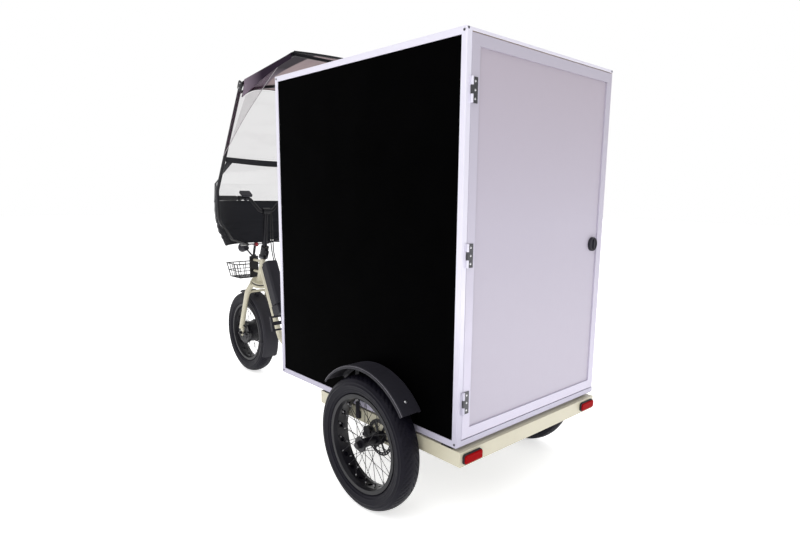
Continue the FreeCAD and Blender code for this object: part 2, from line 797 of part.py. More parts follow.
def rear_hub(centre):
    flange_end = HUB_FLANGE_FACE + HUB_FLANGE_THICKNESS
    outline = [
        (HUB_BORE, -DISC_FACE),
        (DISC_SEAT_RADIUS, -DISC_FACE),
        (DISC_SEAT_RADIUS, -flange_end),
        (HUB_FLANGE_RADIUS, -flange_end),
        (HUB_FLANGE_RADIUS, -HUB_FLANGE_FACE),
        (HUB_BARREL_RADIUS, -HUB_FLANGE_FACE),
        (HUB_BARREL_RADIUS, HUB_FLANGE_FACE),
        (HUB_FLANGE_RADIUS, HUB_FLANGE_FACE),
        (HUB_FLANGE_RADIUS, flange_end),
        (HUB_END_RADIUS, flange_end),
        (HUB_END_RADIUS, HUB_END),
        (HUB_BORE, HUB_END),
    ]
    return turned(outline, centre)


def rear_wheels():
    centre = REAR_AXLE + LEFT * (TRACK / 2)
    disc_start = centre.y - DISC_FACE - DISC_THICKNESS
    pieces = {
        "tyre": [tyre(REAR_TYRE_RADIUS, centre)],
        "rim_spokes": [rim(centre)] + spokes(centre, HUB_HOLE_CIRCLE, HUB_FLANGE_FACE, REAR_CROSS_ANGLE),
        "hub_disc": [rear_hub(centre), brake_disc(REAR_AXLE, disc_start, HUB_BORE)],
    }
    for name, shapes in pieces.items():
        keep("rear_left_" + name, shapes)
        keep("rear_right_" + name, [mirrored(shape) for shape in shapes])


def rear_axle():
    """One shaft through both hubs; a domed nut closes each end."""
    end = TRACK / 2 + HUB_END + GAP
    shaft = across(REAR_AXLE, -end, end, AXLE_RADIUS)
    nut = across(REAR_AXLE, end, end + AXLE_NUT_LENGTH, AXLE_NUT_RADIUS)
    outer = end + AXLE_NUT_LENGTH
    nut = softened(nut, AXLE_NUT_CHAMFER, lambda middle: abs(middle.y - outer) < AXLE_NUT_CHAMFER / 2)
    keep("rear_axle", [fused([shaft] + both_sides(nut))])


def front_wheel():
    keep("front_tyre", [tyre(FRONT_TYRE_RADIUS, FRONT_AXLE)])
    flange = MOTOR_HALF_WIDTH - MOTOR_FLANGE_THICKNESS
    keep("front_rim_spokes", [rim(FRONT_AXLE)] + spokes(FRONT_AXLE, MOTOR_HOLE_CIRCLE, flange, FRONT_CROSS_ANGLE))
    bore = FRONT_AXLE_RADIUS + RUN_FIT
    cap = MOTOR_HALF_WIDTH + MOTOR_CAP_DEPTH
    outline = [
        (bore, -cap),
        (MOTOR_CAP_RADIUS - MOTOR_CHAMFER, -cap),
        (MOTOR_CAP_RADIUS, -MOTOR_HALF_WIDTH),
        (MOTOR_FLANGE_RADIUS, -MOTOR_HALF_WIDTH),
        (MOTOR_FLANGE_RADIUS, -flange),
        (MOTOR_RADIUS, -flange),
        (MOTOR_RADIUS, flange),
        (MOTOR_FLANGE_RADIUS, flange),
        (MOTOR_FLANGE_RADIUS, MOTOR_HALF_WIDTH),
        (MOTOR_CAP_RADIUS, MOTOR_HALF_WIDTH),
        (MOTOR_CAP_RADIUS - MOTOR_CHAMFER, cap),
        (DISC_SEAT_RADIUS, cap),
        (DISC_SEAT_RADIUS, MOTOR_DISC_FACE),
        (bore, MOTOR_DISC_FACE),
    ]
    disc = brake_disc(FRONT_AXLE, MOTOR_DISC_FACE, bore)
    keep("front_hub_motor", [turned(outline, FRONT_AXLE), disc])


# Chassis

def chassis_frame():
    """Ladder of hollow beams: the hollows join up and open at the front ends of the side rails."""
    wall = BEAM_WALL

    def beam(x0, x1, y0, y1, inset):
        return block(x0 + inset, x1 - inset, y0 + inset, y1 - inset, BEAM_BOTTOM + inset, BEAM_TOP - inset)

    inner_edge = BEAM_HALF - BEAM_WIDTH
    places = [
        (BEAM_REAR, BEAM_FRONT, inner_edge, BEAM_HALF),
        (BEAM_REAR, BEAM_FRONT, -BEAM_HALF, -inner_edge),
        (BEAM_REAR, BEAM_REAR + BEAM_WIDTH, -BEAM_HALF, BEAM_HALF),
        (MID_BEAM_X, MID_BEAM_X + BEAM_WIDTH, -BEAM_HALF, BEAM_HALF),
        (BEAM_FRONT - BEAM_WIDTH, BEAM_FRONT, -BEAM_HALF, BEAM_HALF),
    ]
    outer = fused([beam(*place, 0) for place in places])
    hollow = fused([beam(*place, wall) for place in places])
    vents = [block(BEAM_FRONT - wall - OVERRUN, BEAM_FRONT + OVERRUN, side * (inner_edge + wall),
                   side * (BEAM_HALF - wall), BEAM_BOTTOM + wall, BEAM_TOP - wall) for side in (1, -1)]
    window_z = chain_height(BEAM_FRONT - BEAM_WIDTH / 2)
    window = block(BEAM_FRONT - BEAM_WIDTH - OVERRUN, BEAM_FRONT + OVERRUN,
                   CHAIN_LINE - CHAIN_WINDOW_WIDTH / 2, CHAIN_LINE + CHAIN_WINDOW_WIDTH / 2,
                   window_z - CHAIN_WINDOW_HEIGHT / 2, window_z + CHAIN_WINDOW_HEIGHT / 2)
    frame = outer.cut(Part.makeCompound([hollow])).cut(Part.makeCompound(vents + [window]))
    keep("chassis_frame", [fused([frame] + both_sides(axle_hanger()))])


def axle_hanger():
    low = BEAM_BOTTOM - HANGER_DROP
    corners = [
        (-HANGER_REAR, BEAM_BOTTOM),
        (-HANGER_REAR, low + HANGER_CHAMFER),
        (-HANGER_REAR + HANGER_CHAMFER, low),
        (HANGER_FRONT - HANGER_CHAMFER, low),
        (HANGER_FRONT, low + HANGER_CHAMFER),
        (HANGER_FRONT, BEAM_BOTTOM),
    ]
    start = HANGER_FACE - HANGER_THICKNESS
    wire = [point(x, start, z) for x, z in corners]
    plate = Part.Face(Part.makePolygon(wire + wire[:1])).extrude(LEFT * HANGER_THICKNESS)
    return plate.cut(across(REAR_AXLE, start - OVERRUN, HANGER_FACE + OVERRUN, BEARING_RADIUS))


def bearings():
    """Rings that carry the rear axle, the crank spindle and the steerer."""
    start = HANGER_FACE - HANGER_THICKNESS - BEARING_PROUD
    end = HANGER_FACE + BEARING_PROUD
    axle_ring = across(REAR_AXLE, start, end, BEARING_RADIUS).cut(across(REAR_AXLE, start, end, HUB_BORE))
    depth = BRACKET_HALF / 3
    bracket_ring = across(CRANK, BRACKET_HALF - depth, BRACKET_HALF, BRACKET_BORE)
    bracket_ring = bracket_ring.cut(across(CRANK, 0, BRACKET_HALF + OVERRUN, SPINDLE_RADIUS + RUN_FIT))
    shapes = both_sides(axle_ring) + both_sides(bracket_ring)
    bore = STEERER_RADIUS + RUN_FIT
    for low, high, radius in (
        (CROWN_TOP + GAP, HEAD_TUBE_BOTTOM, LOWER_CUP_RADIUS),
        (HEAD_TUBE_TOP, STEM_BOTTOM - GAP, UPPER_CUP_RADIUS),
    ):
        ring = Part.makeCylinder(radius, high - low, point(0, 0, low))
        shapes.append(in_steering(ring.cut(Part.makeCylinder(bore, high, point(0, 0, low - OVERRUN)))))
    keep("bearings", shapes)


def caliper(centre, disc_middle):
    """Caliper body straddling a disc, open towards the disc's middle."""
    body = block(centre.x - CALIPER_LENGTH / 2, centre.x + CALIPER_LENGTH / 2,
                 disc_middle - CALIPER_WIDTH / 2, disc_middle + CALIPER_WIDTH / 2,
                 centre.z - CALIPER_HEIGHT / 2, centre.z + CALIPER_HEIGHT / 2)
    body = softened(body, CALIPER_FILLET, lambda middle: abs(middle.y - disc_middle) < CALIPER_FILLET)
    slot = block(centre.x - CALIPER_LENGTH, centre.x + CALIPER_LENGTH,
                 disc_middle - CALIPER_SLOT / 2, disc_middle + CALIPER_SLOT / 2,
                 centre.z - CALIPER_HEIGHT, centre.z + CALIPER_HEIGHT)
    bridge = block(centre.x + CALIPER_LENGTH / 4, centre.x + CALIPER_LENGTH / 2 - CALIPER_FILLET,
                   disc_middle - CALIPER_WIDTH / 4, disc_middle + CALIPER_WIDTH / 4,
                   centre.z - CALIPER_HEIGHT / 3, centre.z + CALIPER_HEIGHT / 3)
    return fused([body.cut(slot), bridge])


def rear_brake_calipers():
    """Calipers ahead of the axle, bolted to the hangers, each with a cable arm."""
    disc_middle = TRACK / 2 - DISC_FACE - DISC_THICKNESS / 2
    centre = REAR_AXLE + FORE * (DISC_RADIUS - DISC_BAND / 2 + CALIPER_LENGTH / 8)
    body = caliper(centre, disc_middle)
    inner = disc_middle - CALIPER_WIDTH / 2
    foot = block(centre.x - CALIPER_ARM_WIDTH / 2, centre.x + CALIPER_ARM_WIDTH / 2, HANGER_FACE,
                 inner + CALIPER_FILLET, centre.z - CALIPER_ARM_WIDTH, centre.z + CALIPER_ARM_WIDTH)
    arm_z = centre.z - CALIPER_HEIGHT / 2
    arm = block(centre.x, centre.x + CALIPER_ARM_LENGTH, disc_middle + CALIPER_SLOT,
                disc_middle + CALIPER_SLOT + CALIPER_ARM_THICKNESS, arm_z, arm_z + CALIPER_ARM_WIDTH)
    keep("rear_brake_calipers", both_sides(fused([body, foot, arm])))


def arched_sheet(centre, radius, inner_y, outer_y, inner_lip, outer_lip, shoulder, start, end):
    """Fender: a C section with chamfered shoulders, turned about the axle between two angles."""
    sheet = FENDER_SHEET
    slope = shoulder / 2
    outer = [
        (radius - inner_lip, inner_y),
        (radius - slope, inner_y),
        (radius + sheet, inner_y + shoulder),
        (radius + sheet, outer_y - shoulder),
        (radius - slope, outer_y),
        (radius - outer_lip, outer_y),
    ]
    inner = [
        (radius - outer_lip, outer_y - sheet),
        (radius - slope - sheet, outer_y - sheet),
        (radius, outer_y - shoulder - sheet / 2),
        (radius, inner_y + shoulder + sheet / 2),
        (radius - slope - sheet, inner_y + sheet),
        (radius - inner_lip, inner_y + sheet),
    ]
    local = [(r, y - centre.y) for r, y in outer + inner]
    return around_axle(turned(local, centre, end - start), centre, start)


def rear_fenders():
    fender = arched_sheet(REAR_AXLE, FENDER_RADIUS, FENDER_INNER_EDGE, FENDER_OUTER_EDGE, FENDER_INNER_LIP,
                          FENDER_OUTER_LIP, FENDER_SHOULDER, FENDER_FRONT_ANGLE, FENDER_REAR_ANGLE)
    stay_face = FENDER_INNER_EDGE
    lip_reach = FENDER_RADIUS - FENDER_INNER_LIP / 2
    top = REAR_AXLE.z + math.sqrt(lip_reach ** 2 - STAY_PLACE_X ** 2)
    foot_z = BEAM_BOTTOM + BEAM_HEIGHT / 2
    stays = []
    for x in (-STAY_PLACE_X, STAY_PLACE_X):
        bar = block(x - STAY_WIDTH / 2, x + STAY_WIDTH / 2, stay_face - STAY_THICKNESS, stay_face,
                    foot_z - STAY_FOOT_HEIGHT / 2, top)
        foot = block(x - STAY_WIDTH / 2, x + STAY_WIDTH / 2, BEAM_HALF, stay_face,
                     foot_z - STAY_FOOT_HEIGHT / 2, foot_z + STAY_FOOT_HEIGHT / 2)
        stays.append(fused([bar, foot]))
    crown = FENDER_RADIUS + FENDER_SHEET
    bolt = Part.makeCylinder(FENDER_BOLT_RADIUS, FENDER_BOLT_HEAD,
                             REAR_AXLE + FORE * crown + LEFT * FENDER_BOLT_Y, FORE)
    left = [fender, around_axle(bolt, REAR_AXLE, FENDER_BOLT_ANGLE)] + stays
    keep("rear_fenders", left + [mirrored(shape) for shape in left])


def tail_lights():
    y0 = BEAM_HALF - LAMP_END_MARGIN - LAMP_WIDTH
    y1 = BEAM_HALF - LAMP_END_MARGIN
    z0 = BEAM_BOTTOM + (BEAM_HEIGHT - LAMP_HEIGHT) / 2
    z1 = z0 + LAMP_HEIGHT
    front = BEAM_REAR
    middle = BEAM_REAR - LAMP_HOUSING_DEPTH
    housing = block(middle, front, y0, y1, z0, z1)

    def at_corner(spot):
        beside = spot.y < y0 + 2 * LAMP_RIM or spot.y > y1 - 2 * LAMP_RIM
        return beside and (spot.z < z0 + 2 * LAMP_RIM or spot.z > z1 - 2 * LAMP_RIM)

    housing = softened(housing, LAMP_ROUND, at_corner)
    lens = block(LAMP_REAR, middle, y0 + LAMP_RIM, y1 - LAMP_RIM, z0 + LAMP_RIM, z1 - LAMP_RIM)
    lens = softened(lens, LAMP_ROUND - LAMP_RIM, at_corner)
    lens = softened(lens, LAMP_LENS_EDGE, lambda spot: spot.x < LAMP_REAR + LAMP_LENS_DEPTH / 4)
    keep("tail_light_housings", both_sides(housing))
    keep("tail_light_lenses", both_sides(lens))


def box_mount_pads():
    pads = []
    y1 = BEAM_HALF - GAP
    for share in PAD_PLACE_SHARES:
        x = BEAM_REAR + share * (BEAM_FRONT - BEAM_REAR)
        pads.append(block(x - PAD_LENGTH / 2, x + PAD_LENGTH / 2, y1 - PAD_WIDTH, y1, BEAM_TOP, BOX_BOTTOM))
    keep("box_mount_pads", pads + [mirrored(pad) for pad in pads])


# Cargo box

def box_frame():
    """Fifteen square bars: posts, long rails, cross rails, and the door's header, sill and hinge post."""
    inner = BOX_HALF - BAR
    plane = BOX_REAR + BAR
    low = BOX_BOTTOM + BAR
    high = BOX_TOP - BAR
    front = BOX_FRONT - BAR
    header = BOX_TOP - DOOR_HEADER
    hinge_post = block(BOX_REAR, plane, inner, BOX_HALF, low, header)
    hinge_post = softened(hinge_post, BAR_ROUND, lambda spot: spot.x < plane - BAR / 2 and spot.y > inner + BAR / 2
                          and abs(spot.z - (low + header) / 2) < BAR)
    bars = [hinge_post]
    for z0, z1 in ((BOX_BOTTOM, low), (header, BOX_TOP)):
        cross = block(BOX_REAR, plane, -BOX_HALF, BOX_HALF, z0, z1)
        bars.append(softened(cross, BAR_ROUND, lambda spot: spot.x < plane - BAR / 2 and abs(spot.y) < BAR
                             and abs(spot.z - (BOX_BOTTOM + BOX_TOP) / 2) > BOX_HEIGHT / 2 - BAR / 2))
    bars.append(block(plane, plane + BAR, -BOX_HALF, -inner, low, high))
    inner_post = block(plane, plane + BAR, inner - BAR, inner, low, high)
    bars.append(inner_post)
    for side in (1, -1):
        bars.append(block(front, BOX_FRONT, side * inner, side * BOX_HALF, low, high))
        for z0 in (BOX_BOTTOM, high):
            bars.append(block(plane, BOX_FRONT, side * inner, side * BOX_HALF, z0, z0 + BAR))
    for z0 in (BOX_BOTTOM, high):
        bars.append(block(front, BOX_FRONT, -inner, inner, z0, z0 + BAR))
        bars.append(block(plane, plane + BAR, -inner, inner, z0, z0 + BAR))
    keep("box_frame", bars)


def box_panels():
    inner = BOX_HALF - BAR
    plane = BOX_REAR + BAR
    low = BOX_BOTTOM + BAR
    high = BOX_TOP - BAR
    front = BOX_FRONT - BAR
    outer = BOX_HALF - PANEL_RECESS
    left = block(plane, front, outer - PANEL_THICKNESS, outer, low, high)
    keep("left_side_panel", [left])
    keep("right_side_panel", [block(plane + BAR, front, -outer, PANEL_THICKNESS - outer, low, high)])
    face = BOX_FRONT - PANEL_RECESS
    keep("front_panel", [block(face - PANEL_THICKNESS, face, -inner, inner, low, high)])
    top = BOX_TOP - PANEL_RECESS
    keep("roof_panel", [block(plane + BAR, front, -inner, inner, top - PANEL_THICKNESS, top)])
    floor_top = BOX_BOTTOM + BAR - PANEL_RECESS
    keep("floor_panel", [block(plane + BAR, front, -inner, inner, floor_top - PANEL_THICKNESS, floor_top)])


def box_fasteners():
    """Corner gussets inside the side walls, and socket screws on the corner joints."""
    inner = BOX_HALF - BAR
    low = BOX_BOTTOM + BAR
    high = BOX_TOP - BAR
    front = BOX_FRONT - BAR
    rear = BOX_REAR + 2 * BAR
    shapes = []
    for x, reach_x in ((front, -GUSSET_LEG), (rear, GUSSET_LEG)):
        for z, reach_z in ((low, GUSSET_LEG), (high, -GUSSET_LEG)):
            corners = [point(x, inner, z), point(x + reach_x, inner, z), point(x, inner, z + reach_z)]
            plate = Part.Face(Part.makePolygon(corners + corners[:1])).extrude(LEFT * GUSSET_THICKNESS)
            shapes += both_sides(plate)
    for x in (BOX_REAR + BAR / 2, BOX_FRONT - BAR / 2):
        for z in (BOX_BOTTOM + BAR / 2, BOX_TOP - BAR / 2):
            shapes += both_sides(socket_screw(point(x, BOX_HALF, z), LEFT))
    keep("box_fasteners", shapes)


def socket_screw(spot, outward):
    head = Part.makeCylinder(SCREW_RADIUS, SCREW_HEAD, spot, outward)
    socket = Part.makeCylinder(SCREW_SOCKET_RADIUS, SCREW_SOCKET_DEPTH + OVERRUN,
                               spot + outward * (SCREW_HEAD - SCREW_SOCKET_DEPTH), outward)
    return head.cut(socket)


# Door

def door_limits():
    """Left and right edges and lower and upper edges of the door."""
    left = BOX_HALF - BAR - DOOR_GAP
    return left, -BOX_HALF, BOX_BOTTOM + BAR + DOOR_GAP, BOX_TOP - DOOR_HEADER - DOOR_GAP


def hinge_line():
    left = door_limits()[0]
    return point(BOX_REAR - KNUCKLE_RADIUS - GAP, left + DOOR_GAP / 2, 0)


def door():
    left, right, low, high = door_limits()
    plane = BOX_REAR + BAR - GAP
    outer = block(BOX_REAR, plane, right, left, low, high)
    outer = softened(outer, DOOR_ROUND, lambda spot: spot.x < BOX_REAR + BAR / 4)
    opening = block(BOX_REAR - OVERRUN, plane + OVERRUN, right + DOOR_BAR, left - DOOR_BAR,
                    low + DOOR_BAR, high - DOOR_BAR)
    keep("door_frame", [outer.cut(opening)])
    face = BOX_REAR + DOOR_PANEL_RECESS
    panel = block(face, face + DOOR_PANEL_THICKNESS, right + DOOR_BAR, left - DOOR_BAR,
                  low + DOOR_BAR, high - DOOR_BAR)
    latch = point(face, LATCH_Y, LATCH_Z)
    barrel = Part.makeCylinder(LATCH_BARREL_RADIUS, DOOR_PANEL_THICKNESS, latch, FORE)
    keep("door_panel", [panel.cut(barrel)])
    keep("latch_bezel", [latch_bezel(latch)])
    keep("latch_handle", [latch_handle(latch)])


def latch_bezel(seat):
    """Round bezel on the panel's face with a barrel through it and a pocket for the turning grip."""
    proud = DOOR_PANEL_RECESS + LATCH_BEZEL_PROUD
    bezel = Part.makeCylinder(LATCH_BEZEL_RADIUS, proud, seat - FORE * proud, FORE)
    rim_x = seat.x - proud
    bezel = softened(bezel, LATCH_BEZEL_PROUD / 2, lambda spot: abs(spot.x - rim_x) < LATCH_BEZEL_PROUD / 4)
    barrel = Part.makeCylinder(LATCH_BARREL_RADIUS, DOOR_PANEL_THICKNESS, seat, FORE)
    pocket = Part.makeCylinder(LATCH_POCKET_RADIUS, LATCH_POCKET_DEPTH + OVERRUN,
                               seat - FORE * (proud + OVERRUN), FORE)
    bore = Part.makeCylinder(LATCH_SHAFT_RADIUS + RUN_FIT, proud + BOX_LENGTH, seat - FORE * proud, FORE)
    return fused([bezel, barrel]).cut(pocket).cut(bore)


def latch_handle(seat):
    """Turning grip in the pocket, with a shaft to the cam that swings behind the box's post."""
    floor = seat.x - DOOR_PANEL_RECESS - LATCH_BEZEL_PROUD + LATCH_POCKET_DEPTH
    cam_start = BOX_REAR + 2 * BAR + GAP
    cam_end = cam_start + LATCH_CAM_THICKNESS
    disc_start = floor - GAP - LATCH_POCKET_DEPTH / 2
    disc = Part.makeCylinder(LATCH_POCKET_RADIUS - GAP, floor - GAP - disc_start, point(disc_start, seat.y, seat.z), FORE)
    half = LATCH_GRIP_WIDTH / 2
    reach = LATCH_POCKET_RADIUS - LATCH_GRIP_PROUD
    grip = block(disc_start - LATCH_POCKET_DEPTH / 2 - LATCH_GRIP_PROUD, disc_start, seat.y - half, seat.y + half,
                 seat.z - reach, seat.z + reach)
    shaft = Part.makeCylinder(LATCH_SHAFT_RADIUS, cam_end - disc_start, point(disc_start, seat.y, seat.z), FORE)
    width = LATCH_CAM_WIDTH / 2
    cam = block(cam_start, cam_end, seat.y - width, seat.y + width, seat.z - width, seat.z + LATCH_CAM_LENGTH)
    return fused([disc, grip, shaft, cam])


def hinges():
    """Butt hinges: two knuckles and the pin on the post's leaf, the middle knuckle on the door's leaf."""
    line = hinge_line()
    clear = KNUCKLE_RADIUS + GAP
    inner = BOX_HALF - BAR
    fixed = []
    moving = []
    for share in HINGE_PLACE_SHARES:
        middle = BOX_BOTTOM + share * BOX_HEIGHT
        low = middle - HINGE_HEIGHT / 2
        high = middle + HINGE_HEIGHT / 2
        third = HINGE_HEIGHT / 3
        fixed_plate = block(BOX_REAR - HINGE_LEAF, BOX_REAR, line.y + clear, inner + HINGE_FIXED_WIDTH, low, high)
        door_plate = block(BOX_REAR - HINGE_LEAF, BOX_REAR, line.y - clear - HINGE_DOOR_WIDTH, line.y - clear, low, high)
        fixed_parts = [fixed_plate]
        for z0, z1 in ((low, low + third - GAP), (high - third + GAP, high)):
            fixed_parts += knuckle(line, z0, z1, line.y + clear)
        pin = Part.makeCylinder(HINGE_PIN_RADIUS, HINGE_HEIGHT, point(line.x, line.y, low))
        fixed.append(fused(fixed_parts + [pin]))
        middle_knuckle = fused([door_plate] + knuckle(line, low + third, high - third, line.y - clear))
        bore = Part.makeCylinder(HINGE_PIN_RADIUS + RUN_FIT, HINGE_HEIGHT, point(line.x, line.y, low))
        moving.append(middle_knuckle.cut(bore))
        for z in (low + HINGE_SCREW_INSET, middle, high - HINGE_SCREW_INSET):
            spot = point(BOX_REAR - HINGE_LEAF, line.y - clear - HINGE_DOOR_WIDTH / 2, z)
            moving.append(Part.makeCylinder(HINGE_SCREW_RADIUS, HINGE_SCREW_HEAD, spot, FORE * -1))
    keep("hinge_post_leaves", fixed)
    keep("hinge_door_leaves", moving)


def knuckle(line, z0, z1, plate_edge):
    """Knuckle around the pin line, with a tab to its leaf's edge."""
    barrel = Part.makeCylinder(KNUCKLE_RADIUS, z1 - z0, point(line.x, line.y, z0))
    tab = block(BOX_REAR - HINGE_LEAF, BOX_REAR - GAP, line.y, plate_edge, z0, z1)
    return [barrel, tab]


# Front frame

def chain_height(x):
    """Height of the chain's upper run at x, close enough for the window it passes through."""
    share = x / CRANK_X
    return REAR_AXLE.z + SPROCKET_RADIUS + share * (CRANK_Z + RING_RADIUS - REAR_AXLE.z - SPROCKET_RADIUS)


def seat_line(along):
    angle = math.radians(SEAT_ANGLE)
    return point(SEAT_TUBE_X - along * math.cos(angle), 0, DOWN_TUBE_FOOT_Z + along * math.sin(angle))


def front_frame():
    """Head tube, main tube swept back to a bolted flange, seat tube, crank bracket and bracket bosses."""
    head = Part.makeCylinder(HEAD_TUBE_RADIUS, HEAD_TUBE_TOP - HEAD_TUBE_BOTTOM, point(0, 0, HEAD_TUBE_BOTTOM))
    flare = Part.makeCone(HEAD_TUBE_FLARE, HEAD_TUBE_RADIUS, HEAD_TUBE_FLARE_LENGTH, point(0, 0, HEAD_TUBE_BOTTOM))
    lip = Part.makeCylinder(LOWER_RING_RADIUS, LOWER_RING_THICKNESS, point(0, 0, HEAD_TUBE_BOTTOM))
    path = [
        point(DOWN_TUBE_TOP_X, 0, DOWN_TUBE_TOP_Z),
        point(DOWN_TUBE_FOOT_X, 0, DOWN_TUBE_FOOT_Z),
        point(MAIN_TUBE_LOW_X, 0, DOWN_TUBE_FOOT_Z),
        point(BEAM_FRONT + FRAME_FLANGE_THICKNESS / 2, 0, BEAM_BOTTOM + BEAM_HEIGHT / 2),
    ]
    main = bent_tube(path, MAIN_TUBE_RADIUS, FRAME_BEND)
    flange_low = BEAM_BOTTOM + (BEAM_HEIGHT - FRAME_FLANGE_HEIGHT) / 2
    flange = block(BEAM_FRONT, BEAM_FRONT + FRAME_FLANGE_THICKNESS, -FRAME_FLANGE_WIDTH / 2,
                   FRAME_FLANGE_WIDTH / 2, flange_low, flange_low + FRAME_FLANGE_HEIGHT)
    chain_cut = block(BEAM_FRONT - OVERRUN, BEAM_FRONT + FRAME_FLANGE_THICKNESS + OVERRUN,
                      -FRAME_FLANGE_WIDTH, CHAIN_LINE + CHAIN_WINDOW_WIDTH / 2, BEAM_BOTTOM, BEAM_TOP)
    seat_tube = rod(seat_line(0), seat_line(SEAT_TUBE_LENGTH), SEAT_TUBE_RADIUS)
    brace_foot = point(SEAT_TUBE_X - SEAT_BRACE_FOOT - seat_offset(), 0, DOWN_TUBE_FOOT_Z)
    brace = rod(brace_foot, seat_line(SEAT_BRACE_HEIGHT), SEAT_BRACE_RADIUS)
    bracket = across(CRANK, -BRACKET_HALF, BRACKET_HALF, BRACKET_RADIUS)
    bosses = []
    for along in (BOSS_LOW, BOSS_HIGH):
        start = steering_point(0, 0, along)
        bosses.append(rod(start, point(PLATE_REAR, 0, start.z), BOSS_RADIUS))
    whole = fused([in_steering(head), in_steering(flare), in_steering(lip), main, flange.cut(chain_cut), seat_tube,
                   brace, bracket] + bosses)
    head_bore = Part.makeCylinder(HEAD_TUBE_BORE, HEAD_TUBE_TOP, point(0, 0, HEAD_TUBE_BOTTOM - OVERRUN))
    seat_bore = rod(seat_line(SEAT_TUBE_LENGTH - SEAT_BORE_DEPTH), seat_line(SEAT_TUBE_LENGTH + OVERRUN),
                    SEATPOST_RADIUS + RUN_FIT)
    bracket_bore = across(CRANK, -BRACKET_HALF - OVERRUN, BRACKET_HALF + OVERRUN, BRACKET_BORE)
    keep("front_frame", [whole.cut(Part.makeCompound([in_steering(head_bore), seat_bore, bracket_bore]))])


def seat_offset():
    return SEAT_BRACE_HEIGHT * math.cos(math.radians(SEAT_ANGLE))


def battery():
    """Pack behind the down tube on a narrow rail, standing on a smaller dock."""
    top = point(DOWN_TUBE_TOP_X, 0, DOWN_TUBE_TOP_Z)
    foot = point(DOWN_TUBE_FOOT_X, 0, DOWN_TUBE_FOOT_Z)
    down = (foot - top).normalize()
    turn = FreeCAD.Rotation(LEFT, down.cross(LEFT) * -1, down, "ZYX")
    place = FreeCAD.Placement(top, turn)
    face = MAIN_TUBE_RADIUS + GAP
    shoulder = face + BATTERY_SHOULDER
    rear = face + BATTERY_DEPTH
    end = BATTERY_START + BATTERY_LENGTH
    half = BATTERY_WIDTH / 2
    neck = BATTERY_NECK_WIDTH / 2
    back = face + BATTERY_RAIL
    right = [(neck, face), (neck, back), (half, shoulder), (half, rear)]
    outline = right + [(-x, y) for x, y in reversed(right)]
    corners = [point(x, y, BATTERY_START) for x, y in outline]
    pack = Part.Face(Part.makePolygon(corners + corners[:1])).extrude(UP * BATTERY_LENGTH)
    pack = softened(pack, BATTERY_ROUND, lambda spot: BATTERY_START < spot.z - GAP and spot.z + GAP < end
                    and spot.y > shoulder - GAP)
    pack = softened(pack, BATTERY_TOP_ROUND, lambda spot: spot.z < BATTERY_START + GAP and spot.y > shoulder - GAP)
    dock_rail = Part.makeBox(BATTERY_NECK_WIDTH, BATTERY_RAIL, DOCK_LENGTH, point(-neck, face, end + GAP))
    dock = Part.makeBox(DOCK_WIDTH, DOCK_DEPTH, DOCK_LENGTH, point(-DOCK_WIDTH / 2, back, end + GAP))
    dock = softened(dock, DOCK_ROUND, lambda spot: spot.y > back + GAP and spot.z > end + GAP + DOCK_ROUND)
    dock = fused([dock_rail, dock])
    for shape in (pack, dock):
        shape.Placement = place.multiply(shape.Placement)
    keep("battery", [pack, dock])


def seat_clamp():
    top = seat_line(SEAT_TUBE_LENGTH)
    low = seat_line(SEAT_TUBE_LENGTH - SEAT_CLAMP_HEIGHT)
    along = (top - low).normalize()
    outer = SEAT_TUBE_RADIUS + SEAT_CLAMP_WALL
    collar = rod(low, top, outer)
    ear = Part.makeBox(SEAT_CLAMP_EAR + outer, SEAT_CLAMP_EAR, SEAT_CLAMP_HEIGHT)
    ear.translate(point(-SEAT_CLAMP_EAR - outer, -SEAT_CLAMP_EAR / 2, 0))
    ear.Placement = FreeCAD.Placement(low, FreeCAD.Rotation(UP, along)).multiply(ear.Placement)
    bore = rod(low - along * OVERRUN, top + along * OVERRUN, SEAT_TUBE_RADIUS)
    keep("seat_clamp", [fused([collar, ear]).cut(bore)])


def saddle():
    """Seatpost with a clamp head, and a saddle lofted from nose to tail on two rails."""
    foot = seat_line(SEATPOST_FOOT)
    head = seat_line(SEATPOST_LENGTH)
    post = rod(foot, head, SEATPOST_RADIUS)
    half = POST_HEAD_LENGTH / 2
    rail_z = SADDLE_BASE - SADDLE_RAIL_DROP
    clamp = block(head.x - half, head.x + half, -SADDLE_RAIL_SPREAD - SADDLE_RAIL_RADIUS * 2,
                  SADDLE_RAIL_SPREAD + SADDLE_RAIL_RADIUS * 2, rail_z - POST_HEAD_HEIGHT / 2,
                  rail_z + POST_HEAD_HEIGHT / 2)
    rails = []
    for side in (1, -1):
        y = side * SADDLE_RAIL_SPREAD
        tail = SADDLE_MIDDLE_X - SADDLE_TAIL * 2 / 3
        nose = SADDLE_MIDDLE_X + SADDLE_NOSE * 2 / 3
        dip = SADDLE_RAIL_DROP
        path = [
            point(tail, y, SADDLE_BASE),
            point(tail + dip, y, rail_z),
            point(nose - dip, y, rail_z),
            point(nose, y, SADDLE_BASE),
        ]
        rails.append(bent_tube(path, SADDLE_RAIL_RADIUS, SADDLE_RAIL_DROP / 2))
    grooves = [rod(point(head.x - half - OVERRUN, side * SADDLE_RAIL_SPREAD, rail_z),
                   point(head.x + half + OVERRUN, side * SADDLE_RAIL_SPREAD, rail_z),
                   SADDLE_RAIL_RADIUS + RUN_FIT) for side in (1, -1)]
    keep("seatpost", [fused([post, clamp]).cut(Part.makeCompound(grooves))])
    keep("saddle", [saddle_cushion()] + rails)


